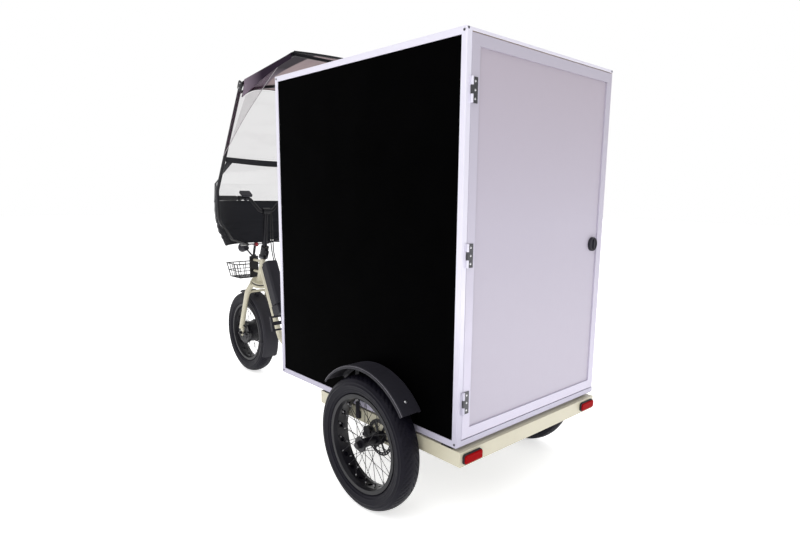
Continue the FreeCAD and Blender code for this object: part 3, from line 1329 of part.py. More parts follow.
def saddle_cushion():
    """Sections by their share of the nose or tail length, half width and crown."""
    section_shares = (
        (1.0, 0.10, 0.40),
        (0.93, 0.18, 0.62),
        (0.55, 0.27, 0.80),
        (0.10, 0.55, 0.86),
        (-0.45, 0.93, 0.97),
        (-0.80, 1.0, 1.0),
        (-1.0, 0.84, 0.78),
    )
    wires = []
    for reach_share, width_share, crown_share in section_shares:
        reach = SADDLE_NOSE if reach_share > 0 else SADDLE_TAIL
        x = SADDLE_MIDDLE_X + reach * reach_share
        width = SADDLE_HALF_WIDTH * width_share
        top = SADDLE_BASE + SADDLE_CROWN * crown_share
        edge = SADDLE_BASE + SADDLE_SKIRT * crown_share
        right = point(x, -width, edge)
        left = point(x, width, edge)
        under_right = point(x, -width * SADDLE_UNDER_SHARE, SADDLE_BASE)
        under_left = point(x, width * SADDLE_UNDER_SHARE, SADDLE_BASE)
        wires.append(Part.Wire([
            Part.Arc(left, point(x, 0, top), right).toShape(),
            Part.LineSegment(right, under_right).toShape(),
            Part.LineSegment(under_right, under_left).toShape(),
            Part.LineSegment(under_left, left).toShape(),
        ]))
    return Part.makeLoft(wires, True, False)


# Pedal drive

def crankset():
    """Spindle with both arms, and the chainring on its spider."""
    angle = math.radians(CRANK_LIFT_ANGLE)
    aim = point(math.cos(angle), 0, math.sin(angle))
    outer = CRANK_ARM_FACE + CRANK_ARM_THICKNESS
    parts = [across(CRANK, -outer, outer, SPINDLE_RADIUS)]
    for side in (1, -1):
        pin = pedal_spot(side)
        half = CRANK_ARM_WIDTH / 2
        y0 = side * CRANK_ARM_FACE
        y1 = side * outer
        arm = block(0, CRANK_LENGTH, y0, y1, -half, half)
        arm.Placement = FreeCAD.Placement(CRANK, FreeCAD.Rotation(FORE, aim * side)).multiply(arm.Placement)
        parts += [arm, across(CRANK, y0, y1, half), across(pin, y0, y1, half)]
        reach = outer + PEDAL_START + PEDAL_WIDTH
        parts.append(across(pin, y1, side * reach, PEDAL_PIN_RADIUS))
    ring_y0 = CHAIN_LINE - RING_HALF_THICKNESS
    ring_y1 = CHAIN_LINE + RING_HALF_THICKNESS
    root = RING_RADIUS - TOOTH_HEIGHT
    ring = toothed_disc(CRANK, root, 2 * TOOTH_HEIGHT, RING_TEETH, ring_y0, ring_y1)
    ring = ring.cut(across(CRANK, ring_y0, ring_y1, root - SPIDER_WIDTH))
    spider = [around_axle(block(CRANK.x, CRANK.x + root - SPIDER_WIDTH / 2, -CRANK_ARM_FACE, ring_y1,
                                CRANK.z - SPIDER_WIDTH / 2, CRANK.z + SPIDER_WIDTH / 2), CRANK, index * 360.0 / SPIDER_ARMS)
              for index in range(SPIDER_ARMS)]
    keep("crankset", [fused(parts + spider + [ring])])


def pedal_spot(side):
    angle = math.radians(CRANK_LIFT_ANGLE)
    return CRANK + point(math.cos(angle), 0, math.sin(angle)) * (side * CRANK_LENGTH)


def pedals():
    for side, name in ((1, "left_pedal"), (-1, "right_pedal")):
        spot = pedal_spot(side)
        y0 = side * (CRANK_ARM_FACE + CRANK_ARM_THICKNESS + PEDAL_START)
        y1 = y0 + side * PEDAL_WIDTH
        half = PEDAL_LENGTH / 2
        body = block(spot.x - half, spot.x + half, y0, y1, spot.z - PEDAL_HEIGHT / 2, spot.z + PEDAL_HEIGHT / 2)
        core = PEDAL_PIN_RADIUS + PEDAL_WALL / 2
        cuts = [across(spot, y0, y1, PEDAL_PIN_RADIUS + RUN_FIT)]
        for end in (1, -1):
            cuts.append(block(spot.x + end * core, spot.x + end * (half - PEDAL_WALL), y0 + side * PEDAL_WALL,
                              y1 - side * PEDAL_WALL, spot.z - PEDAL_HEIGHT, spot.z + PEDAL_HEIGHT))
        keep(name, [around_axle(body.cut(Part.makeCompound(cuts)), spot, PEDAL_TILT)])


def drive_sprocket():
    y0 = CHAIN_LINE - RING_HALF_THICKNESS
    y1 = CHAIN_LINE + RING_HALF_THICKNESS
    root = SPROCKET_RADIUS - TOOTH_HEIGHT
    disc = toothed_disc(REAR_AXLE, root, 2 * TOOTH_HEIGHT, SPROCKET_TEETH, y0, y1)
    hub = across(REAR_AXLE, CHAIN_LINE - SPROCKET_HUB_HALF, CHAIN_LINE + SPROCKET_HUB_HALF, SPROCKET_HUB_RADIUS)
    bore = across(REAR_AXLE, CHAIN_LINE - SPROCKET_HUB_HALF, CHAIN_LINE + SPROCKET_HUB_HALF, HUB_BORE)
    keep("drive_sprocket", [fused([disc, hub]).cut(bore)])


def chain_loop(offset, y0, y1):
    """Filled loop around both toothed wheels at an offset from the pitch line."""
    rear = SPROCKET_RADIUS + offset
    front = RING_RADIUS + offset
    span = CRANK - REAR_AXLE
    reach = point(span.x, 0, span.z)
    tilt = math.atan2(reach.z, reach.x)
    lean = math.acos((rear - front) / reach.Length)

    def on_circle(centre, radius, angle):
        return point(centre.x + radius * math.cos(angle), y0, centre.z + radius * math.sin(angle))

    upper = tilt + lean
    lower = tilt - lean
    rear_up = on_circle(REAR_AXLE, rear, upper)
    rear_low = on_circle(REAR_AXLE, rear, lower)
    front_up = on_circle(CRANK, front, upper)
    front_low = on_circle(CRANK, front, lower)
    wire = Part.Wire([
        Part.LineSegment(rear_up, front_up).toShape(),
        Part.Arc(front_up, on_circle(CRANK, front, tilt), front_low).toShape(),
        Part.LineSegment(front_low, rear_low).toShape(),
        Part.Arc(rear_low, on_circle(REAR_AXLE, rear, tilt + math.pi), rear_up).toShape(),
    ])
    return Part.Face(wire).extrude(LEFT * (y1 - y0))


def drive_chain():
    """The chain's two rows of side plates, on either side of the teeth."""
    rows = []
    for y0, y1 in ((CHAIN_PLATE_START, CHAIN_PLATE_END), (-CHAIN_PLATE_END, -CHAIN_PLATE_START)):
        outer = chain_loop(CHAIN_HALF_HEIGHT, CHAIN_LINE + y0, CHAIN_LINE + y1)
        rows.append(outer.cut(chain_loop(-CHAIN_HALF_HEIGHT, CHAIN_LINE + y0, CHAIN_LINE + y1)))
    keep("drive_chain", rows)


# Fork and front axle

def fork():
    leg = bent_tube([point(0, FORK_LEG_Y, FORK_LEG_BOTTOM), point(0, FORK_LEG_Y, FORK_SHOULDER),
                     point(0, FORK_CROWN_Y, FORK_CROWN_LOW)], FORK_LEG_RADIUS, FORK_BEND)
    plate = block(FORK_OFFSET - DROPOUT_WIDTH / 2, FORK_OFFSET + DROPOUT_WIDTH / 2, DROPOUT_FACE,
                  DROPOUT_FACE + DROPOUT_THICKNESS, -DROPOUT_BELOW, DROPOUT_TOP)
    crown = Part.makeCylinder(CROWN_RADIUS, CROWN_TOP - CROWN_BOTTOM, point(0, 0, CROWN_BOTTOM))
    steerer = Part.makeCylinder(STEERER_RADIUS, STEM_COLLAR_TOP - CROWN_BOTTOM, point(0, 0, CROWN_BOTTOM))
    arch = bent_tube([point(0, FORK_LEG_Y, ARCH_FOOT), point(0, ARCH_HALF, ARCH_TOP), point(0, -ARCH_HALF, ARCH_TOP),
                      point(0, -FORK_LEG_Y, ARCH_FOOT)], ARCH_RADIUS, ARCH_BEND)
    whole = in_steering(fused([crown, steerer, arch] + both_sides(leg) + both_sides(plate)))
    bore = across(FRONT_AXLE, -FRONT_AXLE_REACH, FRONT_AXLE_REACH, FRONT_AXLE_RADIUS + RUN_FIT)
    keep("fork", [whole.cut(bore)])


def front_axle():
    shaft = across(FRONT_AXLE, -FRONT_AXLE_REACH, FRONT_AXLE_REACH, FRONT_AXLE_RADIUS)
    start = DROPOUT_FACE + DROPOUT_THICKNESS
    nut = Part.makePolygon([FRONT_AXLE + LEFT * start + FreeCAD.Rotation(LEFT, 60.0 * index).multVec(FORE)
                            * FRONT_NUT_RADIUS for index in range(7)])
    nut = Part.Face(nut).extrude(LEFT * FRONT_NUT_LENGTH)
    keep("front_axle", [fused([shaft] + both_sides(nut))])


def front_brake_caliper():
    """Caliper behind the left fork leg, on a tab from the leg."""
    middle = MOTOR_DISC_FACE + DISC_THICKNESS / 2
    reach = DISC_RADIUS - DISC_BAND / 2 + CALIPER_LENGTH / 8
    spot = around_axle(Part.Vertex(FRONT_AXLE + FORE * reach), FRONT_AXLE, 180.0 - FRONT_CALIPER_LIFT).Point
    body = caliper(FRONT_AXLE + FORE * reach, middle)
    body = around_axle(body, FRONT_AXLE, 180.0 - FRONT_CALIPER_LIFT)
    leg_spot = steering_point(-FORK_LEG_RADIUS / 2, FORK_LEG_Y, (spot - STEER_ORIGIN).dot(STEER_UP) + CALIPER_ARM_WIDTH)
    tab = rod(point(spot.x, middle + CALIPER_WIDTH / 4, spot.z), leg_spot, CALIPER_ARM_WIDTH / 2)
    tab = tab.cut(NODES["fork"][0])
    solids = sorted(tab.Solids, key=lambda solid: solid.Volume)
    disc_room = across(FRONT_AXLE, middle - CALIPER_SLOT / 2, middle + CALIPER_SLOT / 2, DISC_RADIUS + CALIPER_SLOT)
    keep("front_brake_caliper", [fused([body, solids[-1]]).cut(disc_room)])


def front_fender():
    """Arched fender under the fork's arch, with a tab to the arch and a stay to each side of the axle."""
    sheet = arched_sheet(FRONT_AXLE, FRONT_FENDER_RADIUS, -FRONT_FENDER_HALF, FRONT_FENDER_HALF, FRONT_FENDER_LIP,
                         FRONT_FENDER_LIP, FRONT_FENDER_SHOULDER, FRONT_FENDER_START, FRONT_FENDER_END)
    tab = block(-FENDER_TAB_LENGTH / 2, FENDER_TAB_LENGTH / 2, -FENDER_TAB_WIDTH / 2, FENDER_TAB_WIDTH / 2,
                FRONT_FENDER_RADIUS, ARCH_TOP - ARCH_RADIUS - GAP)
    whole = fused([sheet, in_steering(tab)])
    anchor = around_axle(Part.Vertex(FRONT_AXLE + FORE * (FRONT_FENDER_RADIUS - FRONT_FENDER_LIP)),
                         FRONT_AXLE, FRONT_FENDER_STAY_ANGLE).Point
    upper = anchor + LEFT * (FRONT_FENDER_HALF + FENDER_STAY_RADIUS)
    lower_y = DROPOUT_FACE + DROPOUT_THICKNESS + FENDER_STAY_RADIUS
    lower = FRONT_AXLE + FORE * -(FRONT_NUT_RADIUS + FENDER_STAY_RADIUS) + LEFT * lower_y
    stay = rod(lower, upper, FENDER_STAY_RADIUS)
    keep("front_fender", [whole] + both_sides(stay))


# Stem, handlebar and controls

def stem():
    collar = Part.makeCylinder(STEM_COLLAR_RADIUS, STEM_COLLAR_TOP - STEM_BOTTOM, point(0, 0, STEM_BOTTOM))
    ear_top = (STEM_BOTTOM + STEM_COLLAR_TOP) / 2 + STEM_EAR
    ear = block(-STEM_COLLAR_RADIUS - STEM_EAR, 0, -STEM_EAR_THICKNESS / 2, STEM_EAR_THICKNESS / 2,
                ear_top - 2 * STEM_EAR, ear_top)
    bolt_spot = point(-STEM_COLLAR_RADIUS - STEM_EAR / 2, -STEM_EAR_THICKNESS / 2 - STEM_BOLT_RADIUS,
                      ear_top - STEM_EAR)
    bolt = Part.makeCylinder(STEM_BOLT_RADIUS, STEM_EAR_THICKNESS + 2 * STEM_BOLT_RADIUS, bolt_spot, LEFT)
    clamp_spot = point(BAR_CLAMP_X, 0, BAR_CLAMP_Z)
    mast = rod(steering_point(0, 0, STEM_MAST_START), clamp_spot, STEM_MAST_RADIUS)
    clamp = across(clamp_spot, -BAR_CLAMP_HALF, BAR_CLAMP_HALF, BAR_CLAMP_RADIUS)
    whole = fused([in_steering(fused([collar, ear, bolt])), mast, clamp])
    steerer_bore = Part.makeCylinder(STEERER_RADIUS + RUN_FIT, STEM_COLLAR_TOP - STEM_BOTTOM + OVERRUN,
                                     point(0, 0, STEM_BOTTOM - OVERRUN))
    bar_bore = across(clamp_spot, -BAR_CLAMP_HALF - OVERRUN, BAR_CLAMP_HALF + OVERRUN, BAR_RADIUS + RUN_FIT)
    keep("stem", [whole.cut(in_steering(steerer_bore)).cut(bar_bore)])


def bar_point(y):
    """Point on the left outer run of the handlebar at a distance from the middle."""
    share = (y - BAR_RISER_Y) / (BAR_HALF_WIDTH - BAR_RISER_Y)
    sweep = BAR_RISER_SWEEP + share * (BAR_SWEEP - BAR_RISER_SWEEP)
    return point(BAR_CLAMP_X - sweep, y, BAR_CLAMP_Z + BAR_RISE)


def on_bar(y0, y1, radius):
    return rod(bar_point(y0), bar_point(y1), radius)


def handlebar():
    half = [point(BAR_CLAMP_X, BAR_CENTRE_HALF, BAR_CLAMP_Z), bar_point(BAR_RISER_Y), bar_point(BAR_HALF_WIDTH)]
    other = [point(spot.x, -spot.y, spot.z) for spot in reversed(half)]
    keep("handlebar", [bent_tube(other + half, BAR_RADIUS, BAR_BEND)])
    grip = on_bar(GRIP_START, BAR_HALF_WIDTH + GRIP_END_CAP, GRIP_RADIUS)
    grip = grip.cut(on_bar(GRIP_START - OVERRUN, BAR_HALF_WIDTH + RUN_FIT, BAR_RADIUS + RUN_FIT))
    grip = softened(grip, GRIP_END_CAP / 2, lambda spot: spot.y > BAR_HALF_WIDTH + GRIP_END_CAP / 2)
    keep("grips", both_sides(grip))


def lever_pivot():
    middle = PERCH_START + PERCH_WIDTH / 2
    return bar_point(middle) + FORE * LEVER_PIVOT_FORWARD


def brake_controls():
    """Perch clamped on the bar with two plates and a pin, and the lever between the plates."""
    middle = PERCH_START + PERCH_WIDTH / 2
    pivot = lever_pivot()
    ring = on_bar(PERCH_START, PERCH_START + PERCH_WIDTH, PERCH_RADIUS)
    half = PERCH_WIDTH / 2
    plate_low = LEVER_BARREL_HALF + GAP
    plate_high = plate_low + LEVER_PLATE
    plates = []
    for side in (1, -1):
        plates.append(block(pivot.x - LEVER_PIVOT_FORWARD, pivot.x, middle - half, middle + half,
                            pivot.z + side * plate_low, pivot.z + side * plate_high))
        plates.append(Part.makeCylinder(half, LEVER_PLATE, point(pivot.x, pivot.y, pivot.z + min(
            side * plate_low, side * plate_high))))
    pin = Part.makeCylinder(LEVER_PIN_RADIUS, 2 * plate_high, pivot - UP * plate_high)
    perch = fused([ring] + plates + [pin]).cut(on_bar(PERCH_START - OVERRUN, PERCH_START + PERCH_WIDTH + OVERRUN,
                                                     BAR_RADIUS + RUN_FIT))
    keep("brake_perches", both_sides(perch))
    barrel = Part.makeCylinder(LEVER_BARREL_RADIUS, 2 * LEVER_BARREL_HALF, pivot - UP * LEVER_BARREL_HALF)
    elbow = bar_point(LEVER_ELBOW_Y) + FORE * LEVER_REACH_FORWARD
    tip = bar_point(LEVER_TIP_Y) + FORE * LEVER_REACH_FORWARD
    blade = bent_tube([pivot, elbow, tip], LEVER_BLADE_RADIUS, LEVER_REACH_FORWARD / 2)
    ball = Part.makeSphere(LEVER_BALL_RADIUS, tip)
    lever = fused([barrel, blade, ball])
    lever = lever.cut(Part.makeCylinder(LEVER_PIN_RADIUS + RUN_FIT, 2 * plate_high, pivot - UP * plate_high))
    keep("left_brake_lever", [lever])
    keep("right_brake_lever", [mirrored(lever)])


def thumb_throttle():
    start = THROTTLE_START
    end = THROTTLE_START + THROTTLE_WIDTH
    ring = on_bar(start, end, THROTTLE_RADIUS)
    middle = bar_point((start + end) / 2)
    half = THROTTLE_WIDTH / 2
    paddle = block(middle.x - THROTTLE_RADIUS - THROTTLE_PADDLE, middle.x - BAR_RADIUS,
                   middle.y - half, middle.y + half,
                   middle.z - THROTTLE_PADDLE_THICKNESS, middle.z)
    whole = fused([ring, paddle]).cut(on_bar(start - OVERRUN, end + OVERRUN, BAR_RADIUS + RUN_FIT))
    keep("thumb_throttle", [mirrored(whole)])


def display():
    spot = bar_point(DISPLAY_Y)
    body = Part.makeBox(DISPLAY_DEPTH, DISPLAY_WIDTH, DISPLAY_THICKNESS,
                        point(-DISPLAY_DEPTH / 2, -DISPLAY_WIDTH / 2, 0))
    body = softened(body, DISPLAY_ROUND, lambda middle: abs(middle.z - DISPLAY_THICKNESS / 2) < GAP)
    body.Placement = FreeCAD.Placement(spot + UP * DISPLAY_LIFT, FreeCAD.Rotation(LEFT, DISPLAY_TILT))
    half = DISPLAY_FOOT / 2
    foot = block(spot.x - half, spot.x + half, spot.y - half, spot.y + half, spot.z, spot.z + DISPLAY_LIFT)
    ring = on_bar(DISPLAY_Y - half, DISPLAY_Y + half, BAR_RADIUS + DISPLAY_ROUND)
    whole = fused([body, foot, ring])
    keep("display", [whole.cut(on_bar(DISPLAY_Y - DISPLAY_FOOT, DISPLAY_Y + DISPLAY_FOOT, BAR_RADIUS + RUN_FIT))])


def control_cables():
    routes = [[point(WHEELBASE + x, y, z) for x, y, z in route] for route in CABLE_ROUTES]
    keep("control_cables", [cable_tube(route, CABLE_RADIUS) for route in routes])


# Basket and headlight

def wire_panel(low, high, outward, upright_count, hoop_count, rim):
    """Flat grid between a lower and an upper edge: uprights, and hoops laid on their outer side; the last is the rim."""
    wire = BASKET_WIRE_RADIUS
    step = outward * (wire * BASKET_WIRE_STEP_SHARE)
    bars = []
    for index in range(upright_count):
        share = index / (upright_count - 1)
        bars.append(rod(low[0] + (low[1] - low[0]) * share, high[0] + (high[1] - high[0]) * share, wire))
    for index in range(hoop_count):
        share = index / (hoop_count - 1)
        start = low[0] + (high[0] - low[0]) * share
        end = low[1] + (high[1] - low[1]) * share
        along = (end - start).normalize() * wire
        bars.append(rod(start - along + step, end + along + step, rim if index == hoop_count - 1 else wire))
    return fused(bars)


def basket():
    """Wire basket of five grids, flared to the front and sides, its bracket plate and the hooks between them."""
    rim = BASKET_RIM_RADIUS
    inset = BASKET_WIRE_RADIUS * 2 + GAP
    top = BASKET_BOTTOM + BASKET_HEIGHT
    front = BASKET_REAR + BASKET_LENGTH
    front_low = front - BASKET_FLARE
    half_low = BASKET_HALF - BASKET_FLARE
    panels = []
    for x_low, x_high, outward in ((BASKET_REAR, BASKET_REAR, FORE * -1), (front_low, front, FORE)):
        panels.append(wire_panel([point(x_low, half_low, BASKET_BOTTOM), point(x_low, -half_low, BASKET_BOTTOM)],
                                 [point(x_high, BASKET_HALF, top), point(x_high, -BASKET_HALF, top)],
                                 outward, BASKET_WIRES_ACROSS, BASKET_HOOPS, rim))
    panels += both_sides(wire_panel([point(BASKET_REAR + inset, half_low, BASKET_BOTTOM),
                                     point(front_low - inset, half_low, BASKET_BOTTOM)],
                                    [point(BASKET_REAR + inset, BASKET_HALF, top),
                                     point(front - inset, BASKET_HALF, top)],
                                    LEFT, BASKET_WIRES_LONG, BASKET_HOOPS, rim))
    base_half = half_low - inset
    panels.append(wire_panel([point(BASKET_REAR + inset, base_half, BASKET_BOTTOM),
                              point(BASKET_REAR + inset, -base_half, BASKET_BOTTOM)],
                             [point(front_low - inset, base_half, BASKET_BOTTOM),
                              point(front_low - inset, -base_half, BASKET_BOTTOM)],
                             UP * -1, BASKET_WIRES_ACROSS, BASKET_WIRES_LONG, BASKET_WIRE_RADIUS))
    keep("basket", panels)
    plate = block(PLATE_REAR, PLATE_REAR + PLATE_THICKNESS, -PLATE_HALF, PLATE_HALF, PLATE_BOTTOM, PLATE_TOP)
    hook_end = BASKET_REAR - BASKET_WIRE_RADIUS * BASKET_WIRE_STEP_SHARE - BASKET_RIM_RADIUS - GAP
    hooks = [rod(point(PLATE_REAR + PLATE_THICKNESS, y, BASKET_BOTTOM + BASKET_HEIGHT - BASKET_HOOK_RADIUS),
                 point(hook_end, y, BASKET_BOTTOM + BASKET_HEIGHT - BASKET_HOOK_RADIUS), BASKET_HOOK_RADIUS)
             for y in (-BASKET_HOOK_SPREAD / 2, BASKET_HOOK_SPREAD / 2)]
    keep("basket_bracket", [fused([plate] + hooks)])


def headlight():
    """Round lamp on an arm from the bracket plate, with a clear lens."""
    rear = LIGHT_X - LIGHT_LENGTH
    spot = point(rear, 0, LIGHT_Z)
    body = Part.makeCone(LIGHT_TAIL_RADIUS, LIGHT_RADIUS, LIGHT_LENGTH, spot, FORE)
    arm_top = point(rear + LIGHT_TAIL_RADIUS, 0, LIGHT_Z)
    arm_foot = point(PLATE_REAR + PLATE_THICKNESS / 2, 0, PLATE_TOP - PLATE_THICKNESS)
    arm = rod(arm_foot, arm_top, LIGHT_ARM_RADIUS)
    plate = block(PLATE_REAR, PLATE_REAR + PLATE_THICKNESS, -PLATE_HALF, PLATE_HALF, PLATE_BOTTOM, PLATE_TOP)
    lens = Part.makeCylinder(LIGHT_RADIUS - LIGHT_LENS_DEPTH / 2, LIGHT_LENS_DEPTH, point(LIGHT_X, 0, LIGHT_Z), FORE)
    keep("headlight", [fused([body, arm]).cut(plate), lens])


# Canopy

def canopy_path():
    """Left tube: from the clamp rod out to the side, up past the band, and back along the roof."""
    return [
        point(CLAMP_ROD_X, CLAMP_ROD_HALF / 2, CLAMP_ROD_Z),
        point(STRUT_OUT_X, STRUT_OUT_Y, STRUT_OUT_Z),
        point(SIDE_LOW_X, SIDE_LOW_Y, SIDE_LOW_Z),
        point(SIDE_MID_X, SIDE_MID_Y, SIDE_MID_Z),
        point(SIDE_TOP_X, SIDE_TOP_Y, SIDE_TOP_Z),
        point(RAIL_REAR_X, RAIL_REAR_Y, ROOF_TAIL_EDGE_Z - TUBE_RADIUS - GAP),
    ]


def side_spot(z):
    """Middle of the left tube's upper run at a height."""
    low, high = canopy_path()[3:5]
    return low + (high - low) * ((z - low.z) / (high.z - low.z))


def rail_spot(x):
    """Middle of the left roof rail at a distance from the rear axle."""
    front, rear = canopy_path()[4:6]
    return front + (rear - front) * ((x - front.x) / (rear.x - front.x))


def front_bow():
    """Arched tube just under the roof, from one side tube to the other."""
    arc_radius = (ROOF_BOW_HALF ** 2 + ROOF_BOW_CROWN ** 2) / (2 * ROOF_BOW_CROWN)
    middle_z = ROOF_BOW_EDGE_Z + ROOF_BOW_CROWN - arc_radius
    reach = arc_radius - CROSS_TUBE_RADIUS - GAP
    end_z = middle_z + math.sqrt(reach ** 2 - SIDE_TOP_Y ** 2)
    x = side_spot(end_z).x
    ends = [point(x, SIDE_TOP_Y, end_z), point(x, 0, middle_z + reach), point(x, -SIDE_TOP_Y, end_z)]
    arc = Part.Arc(*ends)
    return piped([arc.toShape()], CROSS_TUBE_RADIUS, ends[0], arc.tangent(arc.FirstParameter)[0]), x


def canopy_frame():
    """Two side tubes joined by the clamp rod, a front bow and a rear cross tube, on a post; and the knob."""
    path = canopy_path()
    tube = bent_tube(path, TUBE_RADIUS, TUBE_BEND)
    rear = path[-1]
    crossings = [
        front_bow()[0],
        across(rear, -rear.y, rear.y, CROSS_TUBE_RADIUS),
        across(point(CLAMP_ROD_X, 0, CLAMP_ROD_Z), -CLAMP_ROD_HALF, CLAMP_ROD_HALF, CLAMP_ROD_RADIUS),
    ]
    post_x = PLATE_REAR + PLATE_THICKNESS / 2
    post = rod(point(post_x, 0, PLATE_TOP), point(CLAMP_ROD_X, 0, CLAMP_ROD_Z), POST_RADIUS)
    foot = block(PLATE_REAR, PLATE_REAR + PLATE_THICKNESS, -PLATE_HALF / 2, PLATE_HALF / 2, PLATE_TOP,
                 PLATE_TOP + PLATE_THICKNESS)
    plate = block(PLATE_REAR - PLATE_HALF, PLATE_REAR + PLATE_HALF, -PLATE_HALF, PLATE_HALF, PLATE_BOTTOM, PLATE_TOP)
    light_arm = NODES["headlight"][0]
    frame = fused(both_sides(tube) + crossings + [post, foot]).cut(plate).cut(light_arm)
    knob_start = point(CLAMP_ROD_X - CLAMP_ROD_RADIUS, 0, CLAMP_ROD_Z)
    knob = Part.makeCylinder(KNOB_RADIUS, KNOB_LENGTH, knob_start, FORE * -1)
    keep("canopy_frame", [frame, knob.cut(frame)])


def cover_strip(x, radius, z, wall):
    """Thin plan section of the leg cover or hood: an arc around the handlebar with a wall."""
    sweep = math.radians(COVER_SWEEP_ANGLE)
    spots = {}
    for name, reach in (("outer", radius), ("inner", radius - wall)):
        spots[name] = [point(x + reach * math.cos(turn), reach * math.sin(turn), z) for turn in (sweep, 0, -sweep)]
    return thin_wire(spots["outer"], spots["inner"])


def bow_strip(end, bulge, rise, wall):
    """Thin section of the windscreen: a shallow arc between a left end and its mirror image."""
    outer = [end, point(end.x + bulge, 0, end.z + rise), point(end.x, -end.y, end.z)]
    inward = point(-bulge, 0, -rise).normalize() * wall
    return thin_wire(outer, [spot + inward for spot in outer])


def band_strip(z, wall):
    """Section of the band or a film at a height, between the side tubes."""
    middle = side_spot((BAND_BOTTOM + BAND_TOP) / 2)
    return bow_strip(point(middle.x, middle.y - TUBE_RADIUS - GAP, z), BAND_BULGE, 0, wall)


def thin_wire(outer, inner):
    return Part.Wire([
        Part.Arc(*outer).toShape(),
        Part.LineSegment(outer[2], inner[2]).toShape(),
        Part.Arc(*reversed(inner)).toShape(),
        Part.LineSegment(inner[0], outer[0]).toShape(),
    ])


def leg_cover():
    """Fabric leg cover with horizontal folds below its fullest part, and the band across the windscreen."""
    sections = [cover_strip(HEM_X, HEM_RADIUS, HEM_Z, COVER_WALL)]
    for index, share in enumerate(COVER_FOLD_SHARES):
        fullness = share * (2 - share)
        radius = HEM_RADIUS + (BULGE_RADIUS - HEM_RADIUS) * fullness
        fold = COVER_FOLD_DEPTH if index % 2 else 0
        sections.append(cover_strip(HEM_X + (BULGE_X - HEM_X) * fullness, radius - fold,
                                    HEM_Z + (BULGE_Z - HEM_Z) * share, COVER_WALL))
    sections.append(cover_strip(BULGE_X, BULGE_RADIUS, BULGE_Z, COVER_WALL))
    sections.append(cover_strip(COVER_TOP_X, COVER_TOP_RADIUS, COVER_TOP_Z, COVER_WALL))
    cover = Part.makeLoft(sections, True, False)
    band = Part.makeLoft([band_strip(BAND_BOTTOM, COVER_WALL), band_strip(BAND_TOP, COVER_WALL)], True, True)
    keep("leg_cover", [cover, band])


def clear_windows():
    """Hood below the band, windscreen above it, and a triangular window on each side."""
    hood = Part.makeLoft([
        cover_strip(COVER_TOP_X, COVER_TOP_RADIUS, COVER_TOP_Z + GAP, FILM),
        cover_strip(HOOD_X, HOOD_RADIUS, HOOD_Z, FILM),
        band_strip(BAND_BOTTOM - GAP, FILM),
    ], True, True)
    screen_end = point(SCREEN_TOP_X, SCREEN_TOP_HALF, SCREEN_TOP_Z)
    screen = Part.makeLoft([
        band_strip(BAND_TOP + GAP, FILM),
        bow_strip(screen_end, SCREEN_TOP_BULGE, SCREEN_TOP_RISE, FILM),
    ], True, True)
    outward = LEFT * (TUBE_RADIUS + GAP)
    corners = [side_spot(BAND_TOP) + outward, canopy_path()[4] + outward, rail_spot(SIDE_WINDOW_REAR_X) + outward]
    film = Part.Face(Part.makePolygon(corners + corners[:1])).extrude(LEFT * FILM)
    keep("clear_windows", [hood, screen] + both_sides(film))


def canopy_roof():
    """Arched sheet from its front lip over the front bow to its rear edge, and a flap over each rail."""
    bow_x = front_bow()[1]
    sections = (
        (bow_x + ROOF_LIP_REACH, ROOF_LIP_HALF, ROOF_LIP_EDGE_Z, ROOF_LIP_CROWN),
        (bow_x, ROOF_BOW_HALF, ROOF_BOW_EDGE_Z, ROOF_BOW_CROWN),
        (ROOF_SHOULDER_X, ROOF_SHOULDER_HALF, ROOF_SHOULDER_EDGE_Z, ROOF_SHOULDER_CROWN),
        (ROOF_MID_X, ROOF_MID_HALF, ROOF_MID_EDGE_Z, ROOF_MID_CROWN),
        (ROOF_TAIL_X, ROOF_TAIL_HALF, ROOF_TAIL_EDGE_Z, ROOF_TAIL_CROWN),
    )
    wires = []
    for x, half, edge, crown in sections:
        lower = [point(x, half, edge), point(x, 0, edge + crown), point(x, -half, edge)]
        wires.append(thin_wire([spot + UP * ROOF_SHEET for spot in lower], lower))
    outward = LEFT * (TUBE_RADIUS + FILM + GAP * 2)
    front_top = canopy_path()[4] + outward
    rear_top = canopy_path()[5] + outward
    front_low = front_top + (front_top - rear_top) * FLAP_LEAN_SHARE - UP * FLAP_FRONT_DROP
    corners = [front_top, front_low, rear_top - UP * FLAP_REAR_DROP, rear_top]
    flap = Part.Face(Part.makePolygon(corners + corners[:1])).extrude(LEFT * ROOF_SHEET)
    roof = Part.makeLoft(wires, True, False).cut(NODES["canopy_frame"][0])
    keep("canopy_roof", [roof] + both_sides(flap))


def main():
    os.makedirs("parts", exist_ok=True)
    for make in (
        rear_wheels, rear_axle, front_wheel, chassis_frame, bearings, rear_brake_calipers, rear_fenders,
        tail_lights, box_mount_pads, box_frame, box_panels, box_fasteners, door, hinges, front_frame, battery,
        seat_clamp, saddle, crankset, pedals, drive_sprocket, drive_chain, fork, front_axle, front_brake_caliper,
        front_fender, stem, handlebar, brake_controls, thumb_throttle, display, control_cables, basket, headlight,
        canopy_frame, leg_cover, clear_windows, canopy_roof,
    ):
        make()
    for name, shapes in NODES.items():
        solids = [solid for shape in shapes for solid in shape.Solids]
        node = Part.makeCompound(solids)
        node.translate(ORIGIN_SHIFT)
        node.exportStep("parts/" + name + ".step")
        print(name, len(solids), all(solid.isValid() for solid in solids))


main()
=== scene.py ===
"""Looks of the cargo tricycle: materials, tyres, soft goods, cables, light and camera."""

import cmath
from math import acos, atan2, cos, exp, hypot, pi, radians, sin, sqrt

import bpy
from mathutils import Matrix, Vector, noise


